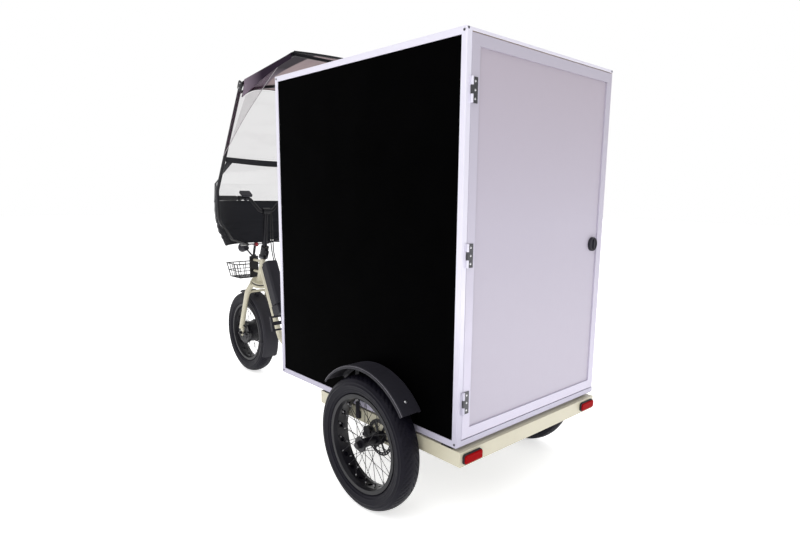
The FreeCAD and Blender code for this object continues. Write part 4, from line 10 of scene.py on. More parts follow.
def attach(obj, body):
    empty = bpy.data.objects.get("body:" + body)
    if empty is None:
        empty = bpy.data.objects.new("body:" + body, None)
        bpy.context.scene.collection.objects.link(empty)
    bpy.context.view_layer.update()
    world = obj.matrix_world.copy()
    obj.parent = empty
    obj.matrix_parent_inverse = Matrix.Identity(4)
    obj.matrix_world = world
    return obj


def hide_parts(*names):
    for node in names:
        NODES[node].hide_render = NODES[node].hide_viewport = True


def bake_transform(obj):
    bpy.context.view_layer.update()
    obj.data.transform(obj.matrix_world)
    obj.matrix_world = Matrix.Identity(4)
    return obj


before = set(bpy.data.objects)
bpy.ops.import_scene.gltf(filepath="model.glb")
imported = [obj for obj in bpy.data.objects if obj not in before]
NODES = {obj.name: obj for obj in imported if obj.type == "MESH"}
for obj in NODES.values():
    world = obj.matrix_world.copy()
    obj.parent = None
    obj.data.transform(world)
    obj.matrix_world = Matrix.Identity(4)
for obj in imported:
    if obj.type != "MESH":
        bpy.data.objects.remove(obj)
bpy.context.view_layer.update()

MM = 0.001
FULL_TURN = 2 * pi

# Layout in millimetres, X from the rear axle line, as in the part's source
ORIGIN_SHIFT = -959.25
REAR_WHEEL_SIDE = 541.0
REAR_TYRE_RADIUS = 287.5
FRONT_TYRE_RADIUS = 296.0
WHEELBASE = 2101.0

# Tyre section
TYRE_HALF_WIDTH = 51.0
TYRE_SHOULDER_DROP = 11.0
TYRE_SHOULDER_HALF = 43.0
TYRE_BEAD_RADIUS = 212.3
TYRE_BEAD_HALF = 35.7
TYRE_SEAT_RADIUS = 200.3
TYRE_SEGMENTS = 480
TREAD_SAMPLES = 24
SIDEWALL_SAMPLES = 48
SIPE_STEP = 8
SIPE_LAG = 2
SIPE_DEPTH = 4.2
SIPE_START_SHARE = 0.14
SIPE_END_SHARE = 0.93
RIDGE_HEIGHT = 1.8
RIDGE_SHARES = (0.14, 0.3, 0.62, 0.82)
RIDGE_WIDTH_SHARE = 0.05

# Rim and spokes; each row of spokes has a lean, a phase and an inset
RIM_INNER = 190.0
SPOKES_PER_ROW = 9
SPOKE_RADIUS = 1.2
SPOKE_GAP = 0.25
SPOKE_ROWS = ((1, 0.25, 0.0), (-1, 0.75, 3.2))
SPOKE_RIM_OFFSET = 16.0
SPOKE_CIRCLE = 29.0
SPOKE_FLANGE = 38.0
SPOKE_CROSS = radians(62.0)
SIDE_PHASE_SHARE = 0.25
NIPPLE_RADIUS = 2.9
NIPPLE_LENGTH = 13.5

# Box, door and hinges
BOX_REAR = -451.0
BOX_HALF = 478.0
BOX_BOTTOM = 391.0
BOX_HEIGHT = 1484.0
DOOR_HEADER = 13.0
DOOR_LEFT = 451.5
HINGE_LEAF = 2.4
HINGE_SCREW_Y = 433.4
HINGE_SCREW_SPREAD = 29.0
HINGE_PLACE_SHARES = (0.115, 0.4845, 0.865)
HINGE_SCREW_RADIUS = 4.1
HINGE_SCREW_HEIGHT = 2.1
PLUG_RADIUS = 4.4
PLUG_HEIGHT = 0.8
PLUG_INSET = 7.5
# Painted shadow: a thin brown tube in the gap between the door and its header.
GAP_SHADOW_RADIUS = 0.72
GAP_SHADOW_DEPTH = 1.5

# Domed heads: share of the height and of the radius
HEAD_OUTLINE = ((0.0, 1.0), (0.5, 1.0), (0.85, 0.8), (1.0, 0.42))
HEAD_SIDES = 16

# Rear fenders
FENDER_CROWN = 335.1
FENDER_BOLT_ANGLE = radians(134.0)
FENDER_BOLT_Y = 538.0
FENDER_CAP_RADIUS = 6.6
FENDER_CAP_HEIGHT = 4.2
# Painted highlight: a thin light-grey tube along the crease of each rear fender.
CREASE_HIGHLIGHT_REACH = 331.7
CREASE_HIGHLIGHT_Y = 584.7
CREASE_HIGHLIGHT_RADIUS = 0.9
CREASE_HIGHLIGHT_ANGLES = (radians(41.0), radians(143.0))
CREASE_HIGHLIGHT_SAMPLES = 61

# Saddle sections: share of the nose or tail length, of the half width and of the crown
SADDLE_BASE = 942.0
SADDLE_MIDDLE_X = 1010.0
SADDLE_NOSE = 190.0
SADDLE_TAIL = 115.0
SADDLE_HALF_WIDTH = 118.0
SADDLE_CROWN = 72.0
SADDLE_SKIRT = 22.0
SADDLE_UNDER_SHARE = 0.8
SADDLE_SHARES = (
    (1.0, 0.10, 0.40), (0.93, 0.18, 0.62), (0.55, 0.27, 0.80), (0.10, 0.55, 0.86),
    (-0.45, 0.93, 0.97), (-0.80, 1.0, 1.0), (-1.0, 0.84, 0.78),
)
SADDLE_RINGS = 26
SADDLE_ARC = 17
SADDLE_SHRINK = 0.94
SADDLE_LIFT = 3.0
SADDLE_VOXEL = 5.0
SADDLE_PRESSURE = 4.0
SADDLE_FRAMES = 20
SADDLE_SWELL_CAP = 7.0
SADDLE_SHELL_HEIGHT = 11.0
SADDLE_RAIL_RADIUS = 3.5
SADDLE_RAIL_SPREAD = 22.0
SADDLE_RAIL_DROP = 26.0
GROOVE_DEPTH = 5.0
GROOVE_WIDTH = 14.0
GROOVE_LENGTH = 150.0
GROOVE_FLOOR = 20.0

# Chain
CRANK_X = 1380.0
CRANK_Z = 335.0
CHAIN_PITCH = 12.7
CHAIN_LINE = -62.0
CHAIN_HALF_GAP = 2.8
CHAIN_PLATE = 1.1
CHAIN_NEST_SHARE = 0.9
CHAIN_HALF_HEIGHT = 4.4
CHAIN_PIN_RADIUS = 2.0
CHAIN_ARC = 60
LINK_CORNERS = 6
RING_TEETH = 36
SPROCKET_TEETH = 18

# Cables, the same points as in the part's source
CABLE_RADIUS = 3.6
CABLE_SIDES = 12
CABLE_ROUTES = (
    ((1815.0, -32.0, 1183.6), (1818.0, -33.0, 1130.0), (1826.0, -35.0, 1062.0), (1828.0, -36.0, 1000.0),
     (1820.0, -35.0, 945.0), (1802.0, -32.0, 894.0), (1780.1, -30.0, 849.9)),
    ((1815.0, -41.0, 1185.0), (1812.0, -43.0, 1130.0), (1814.0, -46.0, 1062.0), (1814.0, -46.0, 1000.0),
     (1806.0, -42.0, 948.0), (1789.5, -37.0, 898.0), (1768.4, -36.0, 855.6)),
)
TIE_PLACE_SHARE = 0.52
TIE_LENGTH = 7.0
TIE_WALL = 0.9

# Canopy tube and clamp; knob sections are shares of its length and radius
TUBE_RADIUS = 10.0
SIDE_MID = (1672.0, 404.0, 1326.0)
SIDE_TOP = (1325.0, 396.0, 1915.0)
RAIL_REAR = (845.0, 345.0, 2007.7)
CLAMP_ROD_X = 1990.0
CLAMP_ROD_Z = 955.0
CLAMP_ROD_HALF = 112.0
CLAMP_SLEEVE_RADIUS = 7.5
KNOB_RADIUS = 15.4
KNOB_LENGTH = 20.4
KNOB_LOBES = 8
KNOB_LOBE_DEPTH = 1.6
KNOB_SECTIONS = ((0.0, 0.7), (0.08, 0.95), (0.2, 1.0), (0.8, 1.0), (0.93, 0.94), (1.0, 0.72))

# Leg cover, clear hood, band and windscreen; each fold has a place, a depth and a width
COVER_SWEEP = radians(80.0)
COVER_FOLDS = ((0.36, 6.5, 0.045), (0.70, 6.0, 0.04), (0.53, 2.5, 0.03), (0.2, 3.0, 0.04))
COVER_FOLD_DRIFT = 0.05
COVER_WRINKLE = 2.2
COVER_INSET = 2.5
COVER_CORNER = 70.0
COVER_CORNER_POWER = 14
COVER_EDGE_RAMP = 6
HEM = (1745.0, 300.0, 965.0)
BULGE = (1702.0, 381.0, 1180.0)
COVER_TOP = (1704.0, 379.0, 1258.0)
HOOD = (1690.0, 378.0, 1372.0)
HOOD_BINDING = 4
BAND_BOTTOM = 1496.0
BAND_TOP = 1528.0
BAND_BULGE = 96.0
BAND_SAG = 9.0
BAND_SAG_TAPER = 0.6
BAND_BOW = 2.0
BAND_ROWS = 9
SCREEN_TOP_X = 1366.0
SCREEN_TOP_HALF = 352.0
SCREEN_TOP_BULGE = 20.0
SCREEN_TOP_DROP = 5.0
CLOTH_THICKNESS = 2.4
FILM_THICKNESS = 1.0
FILM_RIPPLE = 2.0
FILM_AXIS_BACK = 200.0
FILM_ROWS = 31
FILM_COLUMNS = 61
WINDOW_REAR_X = 915.0
WINDOW_OUT = 1.6
WINDOW_START = 0.015
WINDOW_SLACK = 0.09
WINDOW_WAVE = 3.0
PIPING_RADIUS = 3.6
WELT_RADIUS = 1.8

# Roof sections: X, half width, edge height and crown
ROOF_SECTIONS = (
    (1386.5, 360.0, 1858.0, 62.0),
    (1342.5, 362.0, 1896.0, 62.0),
    (1240.0, 360.0, 1945.0, 52.0),
    (1040.0, 353.0, 1984.0, 40.0),
    (834.0, 349.0, 2018.0, 14.0),
)
ROOF_SHEET = 3.0
ROOF_COLUMNS = 57
ROOF_VALANCE_SHARE = 0.955
ROOF_LIP_POWER = 6.0
ROOF_BOW_SHARE = 0.25
ROOF_HANG = 4.0
ROOF_WAVE = 2.0
ROOF_BAND_INNER = (0.2, 0.22)
ROOF_BAND_RANGE = (-0.2, 0.44)
FLAP_FRONT_DROP = 84.0
FLAP_REAR_DROP = 22.0
FLAP_LEAN = 20.0
FLAP_FRONT_X = 1270.0
FLAP_OUT = 4.6
FLAP_LAP = 3.0

# Canopy corner brackets; sections are shares of the thickness and of the outline
BRACKET_Z = 1903.0
BRACKET_LENGTH = 52.0
BRACKET_WIDTH = 52.0
BRACKET_THICKNESS = 4.0
BRACKET_OUT = 15.0
BRACKET_BACK = 30.0
BRACKET_SIDES = 32
BRACKET_SECTIONS = ((0.0, 1.0), (0.75, 1.0), (1.0, 0.9))
BRACKET_BOLT_RADIUS = 4.2
BRACKET_BOLT_SPREAD = 26.0
BRACKET_BOLT_SINK = 0.5
BRACKET_BOLT_HEAD = 2.4

# Camera fitted to the photograph: metres, radians and pixels of an 800 x 533 image
CAMERA_PLACE = (-2.76305, 1.9571, 1.3235)
CAMERA_YAW = -0.7577
CAMERA_PITCH = 0.1678
CAMERA_ROLL = -0.0139
CAMERA_FOCAL = 572.44
CAMERA_CENTRE = (419.75, 291.22)
IMAGE_SIZE = (800.0, 533.0)
SENSOR_WIDTH = 36.0

# Backdrop and floor; each light has a place, a target, a size and a power
BACKDROP_SIDE = (0.726, -0.687, 0.0)
BACKDROP_LEVELS = (0.6, 1.0)
BACKDROP_RANGE = (-0.2, 0.6)
FLOOR_REACH = 30.0
WHITE = (1.0, 1.0, 1.0, 1.0)
LIGHTS = (
    ("key", (-3.0, 4.5, 5.0), (-0.3, 0.0, 0.8), 4.0, 135.0),
    ("door_fill", (-2.6, -0.9, 0.35), (-1.4, 0.0, 0.4), 1.0, 3.0),
    ("top", (0.0, 0.0, 6.0), (0.0, 0.0, 0.0), 5.0, 60.0),
)


# Geometry

def spot(x, y, z):
    """Point of the part's frame in metres, from millimetres counted from the rear axle line."""
    return Vector(((x + ORIGIN_SHIFT) * MM, y * MM, z * MM))


def around_y(angle, reach=1.0, y=0.0):
    """Offset at an angle about a line along Y."""
    return Vector((reach * cos(angle), y, reach * sin(angle)))


def mirrored(points):
    return [Vector((point.x, -point.y, point.z)) for point in points]


def both_sides(name, rows):
    """Names and points of a left sheet and of its mirror image."""
    return ("left_" + name, rows), ("right_" + name, [mirrored(row) for row in rows])


def between(low, high, share):
    return low + (high - low) * share


def place_between(low, high, share):
    return tuple(between(a, b, share) for a, b in zip(low, high))


def shares(count):
    return [index / (count - 1) for index in range(count)]


def ring_angles(count):
    return [FULL_TURN * step / count for step in range(count)]


def ripple(x, y, z):
    return noise.noise(Vector((x, y, z)))


def smooth_line(values, share):
    """Catmull-Rom value along a list of tuples, at a share of its length."""
    reach = share * (len(values) - 1)
    index = min(int(reach), len(values) - 2)
    step = reach - index
    before = values[max(index - 1, 0)]
    after = values[min(index + 2, len(values) - 1)]
    result = []
    for a, b, c, d in zip(before, values[index], values[index + 1], after):
        slope_b = (c - a) / 2
        slope_c = (d - b) / 2
        cubic = 2 * (b - c) + slope_b + slope_c
        square = 3 * (c - b) - 2 * slope_b - slope_c
        result.append(((cubic * step + square) * step + slope_b) * step + b)
    return result


def circle_through(start, middle, end, count):
    """Plane points on the arc from start over middle to end, worked out as complex numbers."""
    a, b, c = complex(*start), complex(*middle), complex(*end)
    skew = (c - a) / (b - a)
    centre = a + (b - a) * (skew - abs(skew) ** 2) / (2j * skew.imag)
    turn = cmath.phase((c - centre) / (a - centre)) % FULL_TURN
    if cmath.phase((b - centre) / (a - centre)) < 0:
        turn -= FULL_TURN
    places = [centre + (a - centre) * cmath.exp(1j * turn * share) for share in shares(count)]
    return [(place.real, place.imag) for place in places]


def run_lengths(points):
    """Distance along a line of points, at each of them."""
    lengths = [0.0]
    for a, b in zip(points, points[1:]):
        lengths.append(lengths[-1] + (b - a).length)
    return lengths


def line_length(points):
    return run_lengths(points)[-1]


def linked(name, data):
    """New object in the scene."""
    piece = bpy.data.objects.new(name, data)
    bpy.context.scene.collection.objects.link(piece)
    return piece


def mesh_piece(name, vertices, faces, look, smooth=True, sharp=None):
    """Object with a look by name; edges that turn by more than sharp degrees stay sharp."""
    mesh = bpy.data.meshes.new(name)
    mesh.from_pydata([tuple(vertex) for vertex in vertices], [], faces)
    mesh.validate()
    mesh.materials.append(LOOKS[look])
    if smooth:
        mesh.shade_smooth()
    if sharp:
        mesh.set_sharp_from_angle(angle=radians(sharp))
    return linked(name, mesh)


def grid_faces(rows, columns, wrap=False, loop=False):
    """Quads of points stored row by row; wrap closes the grid around its columns, loop around its rows."""
    faces = []
    for row in range(rows if loop else rows - 1):
        here, there = row * columns, (row + 1) % rows * columns
        for column in range(columns if wrap else columns - 1):
            after = (column + 1) % columns
            faces.append((here + column, here + after, there + after, there + column))
    return faces


def capped_faces(rows, columns):
    """Faces of a closed loft: its wrapped grid and both end caps."""
    last = (rows - 1) * columns
    caps = [tuple(reversed(range(columns))), tuple(range(last, last + columns))]
    return grid_faces(rows, columns, wrap=True) + caps


def joined(meshes):
    """Vertices and faces of several meshes as one."""
    vertices, faces = [], []
    for more, polygons in meshes:
        faces += [tuple(corner + len(vertices) for corner in face) for face in polygons]
        vertices += more
    return vertices, faces


def closed_loft(name, rings, look, sharp=None):
    faces = capped_faces(len(rings), len(rings[0]))
    return mesh_piece(name, [point for ring in rings for point in ring], faces, look, sharp=sharp)


def tube_mesh(points, radius, sides):
    """Vertices and faces of a capped tube that follows points; radius in metres."""
    vertices = []
    along = (points[1] - points[0]).normalized()
    side = along.orthogonal().normalized()
    for index, point in enumerate(points):
        ahead = (points[min(index + 1, len(points) - 1)] - points[max(index - 1, 0)]).normalized()
        side = along.rotation_difference(ahead) @ side
        along = ahead
        other = along.cross(side)
        for angle in ring_angles(sides):
            vertices.append(point + (side * cos(angle) + other * sin(angle)) * radius)
    return vertices, capped_faces(len(points), sides)


def tubes_piece(name, runs, radius, look, sides=8, sharp=None):
    """One mesh of several tubes; radius in millimetres."""
    vertices, faces = joined(tube_mesh(run, radius * MM, sides) for run in runs)
    return mesh_piece(name, vertices, faces, look, sharp=sharp)


def nurbs_points(route):
    """Points of the smooth NURBS line that has the route as its control points."""
    curve = bpy.data.curves.new("route", "CURVE")
    curve.dimensions = "3D"
    curve.resolution_u = 10
    spline = curve.splines.new("NURBS")
    spline.points.add(len(route) - 1)
    for target, point in zip(spline.points, route):
        target.co = (*point, 1.0)
    spline.order_u = 3
    spline.use_endpoint_u = True
    guide = bpy.data.objects.new("route", curve)
    line = bpy.data.meshes.new_from_object(guide)
    points = [vertex.co.copy() for vertex in line.vertices]
    bpy.data.objects.remove(guide)
    bpy.data.curves.remove(curve)
    bpy.data.meshes.remove(line)
    return points


# Material nodes

SHADER = "Principled BSDF"
WAVE_RADIANS = 20.0
LOOKS = {}


def add_node(tree, kind, inputs=None, **settings):
    """Node whose inputs are constants or outputs of other nodes."""
    node = tree.nodes.new(kind)
    for key, value in settings.items():
        setattr(node, key, value)
    for key, value in (inputs or {}).items():
        if isinstance(value, bpy.types.NodeSocket):
            tree.links.new(value, node.inputs[key])
        else:
            node.inputs[key].default_value = value
    return node


def coordinates(tree, kind="Object", stretch=(1, 1, 1)):
    source = add_node(tree, "ShaderNodeTexCoord").outputs[kind]
    return add_node(tree, "ShaderNodeMapping", {"Vector": source, "Scale": stretch}).outputs["Vector"]


def grain(tree, scale, detail, stretch=(1, 1, 1), roughness=0.55):
    place = coordinates(tree, stretch=stretch)
    inputs = {"Vector": place, "Scale": scale, "Detail": detail, "Roughness": roughness}
    return add_node(tree, "ShaderNodeTexNoise", inputs).outputs["Fac"]


def waves(tree, pitch, direction, kind="Object", **inputs):
    """Bands of a pitch in metres along a direction."""
    inputs.update(Vector=coordinates(tree, kind), Scale=FULL_TURN / (WAVE_RADIANS * pitch))
    return add_node(tree, "ShaderNodeTexWave", inputs, bands_direction=direction).outputs["Fac"]


def span(value, low=0.0, high=1.0, start=0.3, end=0.7):
    inputs = {"Value": value, "From Min": start, "From Max": end, "To Min": low, "To Max": high}
    return add_node(value.id_data, "ShaderNodeMapRange", inputs).outputs["Result"]


def blended(factor, first, second):
    """Mix of two colours, each a node's output or a red, green and blue value."""
    inputs = {0: factor}
    for index, value in ((6, first), (7, second)):
        inputs[index] = value if isinstance(value, bpy.types.NodeSocket) else (*value, 1.0)
    return add_node(factor.id_data, "ShaderNodeMix", inputs, data_type="RGBA").outputs[2]


def combined(operation, first, second=0.0):
    return add_node(first.id_data, "ShaderNodeMath", {0: first, 1: second}, operation=operation).outputs[0]


def new_look(name, **values):
    """Node tree of a new material in LOOKS, with constants on its shader's sockets."""
    LOOKS[name] = bpy.data.materials.new(name)
    LOOKS[name].use_nodes = True
    tree = LOOKS[name].node_tree
    for key, value in values.items():
        tree.nodes[SHADER].inputs[key.replace("_", " ")].default_value = value
    return tree


def connect(tree, **sockets):
    for key, socket in sockets.items():
        tree.links.new(socket, tree.nodes[SHADER].inputs[key.replace("_", " ")])


def dress(tone, height, strength, depth, edge=0.0, **sockets):
    """Connect a tone, a bump over edges rounded by a small radius in metres, and any further sockets."""
    tree = tone.id_data
    inputs = {"Height": height, "Strength": strength, "Distance": depth}
    if edge:
        inputs["Normal"] = add_node(tree, "ShaderNodeBevel", {"Radius": edge}, samples=4).outputs["Normal"]
    bump = add_node(tree, "ShaderNodeBump", inputs).outputs["Normal"]
    connect(tree, Base_Color=tone, Normal=bump, **sockets)


def scaled(colour, factor):
    return tuple(part * factor for part in colour)


def worn_surface(name, colour, dark, roughness, spread, peel, depth, specular=0.5, edge=0.0008, **values):
    """Paint, plastic, panel or rubber: mottled colour and roughness, and a fine bump."""
    tree = new_look(name, Specular_IOR_Level=specular, **values)
    patches = grain(tree, 6.0, 4.0)
    fine = grain(tree, peel, 2.0)
    smudge = grain(tree, 54.0, 5.0, roughness=0.7)
    tone = blended(span(patches), scaled(colour, dark), colour)
    rough = span(smudge, roughness - spread, roughness + spread)
    dress(tone, fine, 0.35, depth, edge, Roughness=rough)


def metal_surface(name, colour, roughness):
    tree = new_look(name, Metallic=1.0)
    brushed = grain(tree, 420.0, 3.0)
    stains = grain(tree, 22.0, 5.0, roughness=0.65)
    tone = blended(span(stains), scaled(colour, 0.8), colour)
    rough = span(brushed, roughness - 0.08, roughness + 0.1)
    dress(tone, brushed, 0.25, 0.0003, 0.0005, Roughness=rough)


def painted_height_shade_surface(name, low, high, heights, peel, edge, metallic):
    """Panel or bar with painted light and shade: its tone slides from low to high colour over a range of
    heights in metres.
    """
    tree = new_look(name, Metallic=metallic)
    place = add_node(tree, "ShaderNodeNewGeometry").outputs["Position"]
    height = add_node(tree, "ShaderNodeSeparateXYZ", {"Vector": place}).outputs["Z"]
    rough = span(grain(tree, 20.0, 5.0, roughness=0.7), 0.36, 0.5)
    tone = blended(span(height, 0.0, 1.0, *heights), low, high)
    dress(tone, grain(tree, peel, 2.0), 0.35, 0.00012, edge, Roughness=rough)


def cover_surface(name, colour, light, pitch):
    """Cloth with crossed threads of a pitch in metres and soft wear."""
    tree = new_look(name, Roughness=0.82, Sheen_Weight=0.12, Sheen_Roughness=0.4)
    yarn = {"Distortion": 0.6, "Detail": 1.0, "Detail Scale": 1.5}
    weave = combined("MULTIPLY", *(waves(tree, pitch, way, "UV", **yarn) for way in ("X", "Y")))
    patches = grain(tree, 9.0, 5.0)
    faded = blended(span(patches, 0.0, 1.0, 0.35, 0.75), colour, light)
    tone = blended(span(weave, 0.0, 0.6, 0.0, 1.0), scaled(colour, 0.7), faded)
    dress(tone, weave, 0.5, 0.0005)


def film_surface(name, colour, clear, edge_on, smear):
    """Flexible film: see-through face on, denser edge on, with smears and slow ripples."""
    tree = new_look(name, Roughness=0.07, IOR=1.5)
    facing = add_node(tree, "ShaderNodeLayerWeight", {"Blend": 0.35}).outputs["Facing"]
    streaks = grain(tree, 7.0, 4.0, (1.0, 0.6, 2.2), 0.6)
    smears = span(streaks, 0.0, smear, 0.5, 0.8)
    density = combined("ADD", span(facing, clear, edge_on, 0.0, 1.0), smears)
    tone = blended(span(streaks), scaled(colour, 0.88), colour)
    dress(tone, grain(tree, 16.0, 2.0), 0.12, 0.004, Alpha=density)


def roof_surface(name):
    """Roof film: dark along its sides, brown and thinner in the middle, and smoky towards the front."""
    tree = new_look(name, Roughness=0.35, IOR=1.5, Specular_IOR_Level=0.02)
    place = add_node(tree, "ShaderNodeSeparateXYZ", {"Vector": coordinates(tree)})
    ahead = place.outputs["X"]
    off_middle = combined("ABSOLUTE", place.outputs["Y"])
    inner_edge = span(ahead, *ROOF_BAND_INNER, *ROOF_BAND_RANGE)
    beside = span(combined("SUBTRACT", off_middle, inner_edge), 0.0, 1.0, 0.0, 0.012)
    smoky = span(ahead, 0.0, 1.0, 0.14, 0.3)
    creases = span(grain(tree, 5.0, 3.0, (1.0, 2.0, 1.0)))
    side = blended(smoky, (0.02, 0.013, 0.023), (0.19, 0.148, 0.19))
    middle = blended(creases, (0.36, 0.265, 0.275), (0.44, 0.335, 0.345))
    thick = span(smoky, 0.97, 0.86, 0.0, 1.0)
    density = span(beside, 0.78, thick, 0.0, 1.0)
    tone = blended(beside, middle, side)
    dress(tone, grain(tree, 9.0, 2.0), 0.12, 0.004, Alpha=density)


def tyre_surface(name, colour, dusty):
    tree = new_look(name, Specular_IOR_Level=0.12)
    dust = grain(tree, 30.0, 6.0, roughness=0.7)
    tone = blended(span(dust, 0.0, 1.0, 0.45, 0.8), colour, dusty)
    dress(tone, grain(tree, 1100.0, 2.0), 0.3, 0.0003, Roughness=span(dust, 0.4, 0.6))


def lens_surface(name, colour, pitch):
    """Moulded lens with a grid of small prisms of a pitch in metres."""
    tree = new_look(name, Roughness=0.3, Specular_IOR_Level=0.02)
    cells = combined("MULTIPLY", *(waves(tree, pitch, way) for way in ("Y", "Z")))
    tone = blended(span(cells, 0.0, 1.0, 0.0, 1.0), scaled(colour, 0.72), scaled(colour, 1.2))
    dress(tone, cells, 0.25, 0.0006)


def leather_surface(name, colour):
    tree = new_look(name, Specular_IOR_Level=0.4)
    pebbles = add_node(tree, "ShaderNodeTexVoronoi", {"Vector": coordinates(tree), "Scale": 520.0})
    rubbed = grain(tree, 14.0, 5.0)
    tone = blended(span(rubbed), scaled(colour, 0.7), scaled(colour, 1.5))
    dress(tone, pebbles.outputs["Distance"], 0.5, 0.0006, Roughness=span(rubbed, 0.42, 0.62))


def ribbed_surface(name, colour, pitch):
    """Soft rubber with ribs around a bar that runs along Y."""
    tree = new_look(name, Roughness=0.75)
    tone = blended(span(grain(tree, 60.0, 4.0)), colour, scaled(colour, 1.8))
    dress(tone, waves(tree, pitch, "Y"), 0.8, 0.0015)


worn_surface("frame_paint", (0.57, 0.535, 0.41), 0.95, 0.36, 0.07, 700.0, 0.0002, edge=0.0015,
             Coat_Weight=0.25, Coat_Roughness=0.2)
worn_surface("black_paint", (0.0065, 0.006, 0.0095), 0.7, 0.36, 0.08, 800.0, 0.0002, 0.3)
worn_surface("black_panel", (0.0009, 0.0009, 0.001), 0.6, 0.5, 0.07, 500.0, 0.00012, 0.004)
worn_surface("black_plastic", (0.016, 0.015, 0.0225), 0.75, 0.58, 0.08, 1300.0, 0.0003, 0.32)
worn_surface("rubber", (0.009, 0.009, 0.01), 0.7, 0.72, 0.08, 900.0, 0.0004, 0.3)
worn_surface("knob_red", (0.3, 0.008, 0.02), 0.8, 0.35, 0.06, 900.0, 0.0002)
worn_surface("cable_tie", (0.8, 0.79, 0.76), 0.93, 0.4, 0.06, 900.0, 0.0002)
worn_surface("cable_sleeve", (0.012, 0.012, 0.013), 0.75, 0.5, 0.08, 1200.0, 0.0003)
worn_surface("film_welt", (0.3, 0.27, 0.29), 0.85, 0.3, 0.06, 700.0, 0.0002)
# Painted highlight colour for the lines along the fender creases.
worn_surface("painted_fender_highlight", (0.2, 0.19, 0.22), 0.85, 0.35, 0.06, 900.0, 0.0002)
# Painted shadow colour for the gap under the door header.
worn_surface("door_gap_shadow", (0.36, 0.25, 0.14), 0.8, 0.6, 0.08, 800.0, 0.0003)
metal_surface("bright_steel", (0.72, 0.72, 0.74), 0.3)
metal_surface("dark_steel", (0.1, 0.1, 0.107), 0.38)
metal_surface("nipple_steel", (0.34, 0.335, 0.35), 0.34)
# Painted light and shade by height: aluminium_bar shaded towards its bottom, door_bar lit at its bottom and
# shaded at its top, grey_panel shaded towards its top.
painted_height_shade_surface("aluminium_bar", (0.46, 0.44, 0.54), (0.72, 0.7, 0.8), (0.42, 0.9), 950.0, 0.0012, 0.25)
painted_height_shade_surface("door_bar", (0.57, 0.54, 0.65), (0.47, 0.44, 0.52), (0.5, 1.85), 950.0, 0.0012, 0.25)
painted_height_shade_surface("grey_panel", (0.465, 0.43, 0.515), (0.4, 0.352, 0.412), (1.2, 1.88), 600.0, 0.0008, 0.0)
lens_surface("red_lens", (0.34, 0.0025, 0.005), 0.006)
tyre_surface("tyre", (0.0045, 0.004, 0.0085), (0.011, 0.01, 0.0165))
leather_surface("saddle_cover", (0.014, 0.014, 0.015))
cover_surface("cover_fabric", (0.0075, 0.008, 0.0145), (0.016, 0.0165, 0.026), 0.0016)
film_surface("clear_film", (0.06, 0.018, 0.044), 0.115, 0.165, 0.03)
roof_surface("tinted_film")
ribbed_surface("grip_ribs", (0.012, 0.012, 0.013), 0.0045)


def base_name(material):
    """Name of a material without its number."""
    return material.name.split(".")[0] if material else ""


def settle(piece, body="chassis", node=None):
    """Hide the node that a piece stands for, if given, and attach the piece to its body."""
    if node:
        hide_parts(node)
    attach(piece, body)
    return piece


# Wheels

def tyre_profile(radius):
    """Closed section of the tyre with rings on its sidewalls, and the index of its first tread point."""
    shoulder = radius - TYRE_SHOULDER_DROP
    belly = (TYRE_BEAD_RADIUS + shoulder) / 2
    wall = circle_through((TYRE_BEAD_RADIUS, TYRE_BEAD_HALF), (belly, TYRE_HALF_WIDTH),
                          (shoulder, TYRE_SHOULDER_HALF), SIDEWALL_SAMPLES)
    ringed = []
    for share, (reach, side) in zip(shares(len(wall)), wall):
        swell = sum(exp(-((share - place) / RIDGE_WIDTH_SHARE) ** 2) for place in RIDGE_SHARES)
        ringed.append((reach, side - RIDGE_HEIGHT + RIDGE_HEIGHT * min(swell, 1.0)))
    tread = circle_through((shoulder, TYRE_SHOULDER_HALF), (radius, 0.0), (shoulder, -TYRE_SHOULDER_HALF),
                           TREAD_SAMPLES)
    other = [(reach, -side) for reach, side in reversed(ringed)]
    inside = [(TYRE_SEAT_RADIUS, -TYRE_BEAD_HALF), (TYRE_SEAT_RADIUS, TYRE_BEAD_HALF)]
    return ringed + tread[1:-1] + other + inside, len(ringed) - 1


def tyre_piece(wheel, centre, radius):
    """Tyre with rings on its sidewalls and angled sipes in its tread."""
    profile, first = tyre_profile(radius)

    def sipe(step, index):
        place = (index - first) / (TREAD_SAMPLES - 1)
        off_centre = abs(2 * place - 1)
        if not SIPE_START_SHARE < off_centre < SIPE_END_SHARE:
            return 0.0
        half = 0 if place < 0.5 else SIPE_STEP // 2
        lag = round(-SIPE_LAG * off_centre * SIPE_STEP)
        return SIPE_DEPTH if (step + half + lag) % SIPE_STEP == 0 else 0.0

    vertices = []
    for step, angle in enumerate(ring_angles(TYRE_SEGMENTS)):
        for index, (reach, side) in enumerate(profile):
            vertices.append(centre + around_y(angle, (reach - sipe(step, index)) * MM, side * MM))
    faces = grid_faces(TYRE_SEGMENTS, len(profile), wrap=True, loop=True)
    piece = mesh_piece(wheel + "_tyre_rubber", vertices, faces, "tyre", sharp=50)
    settle(piece, wheel + "_wheel", wheel + "_tyre")


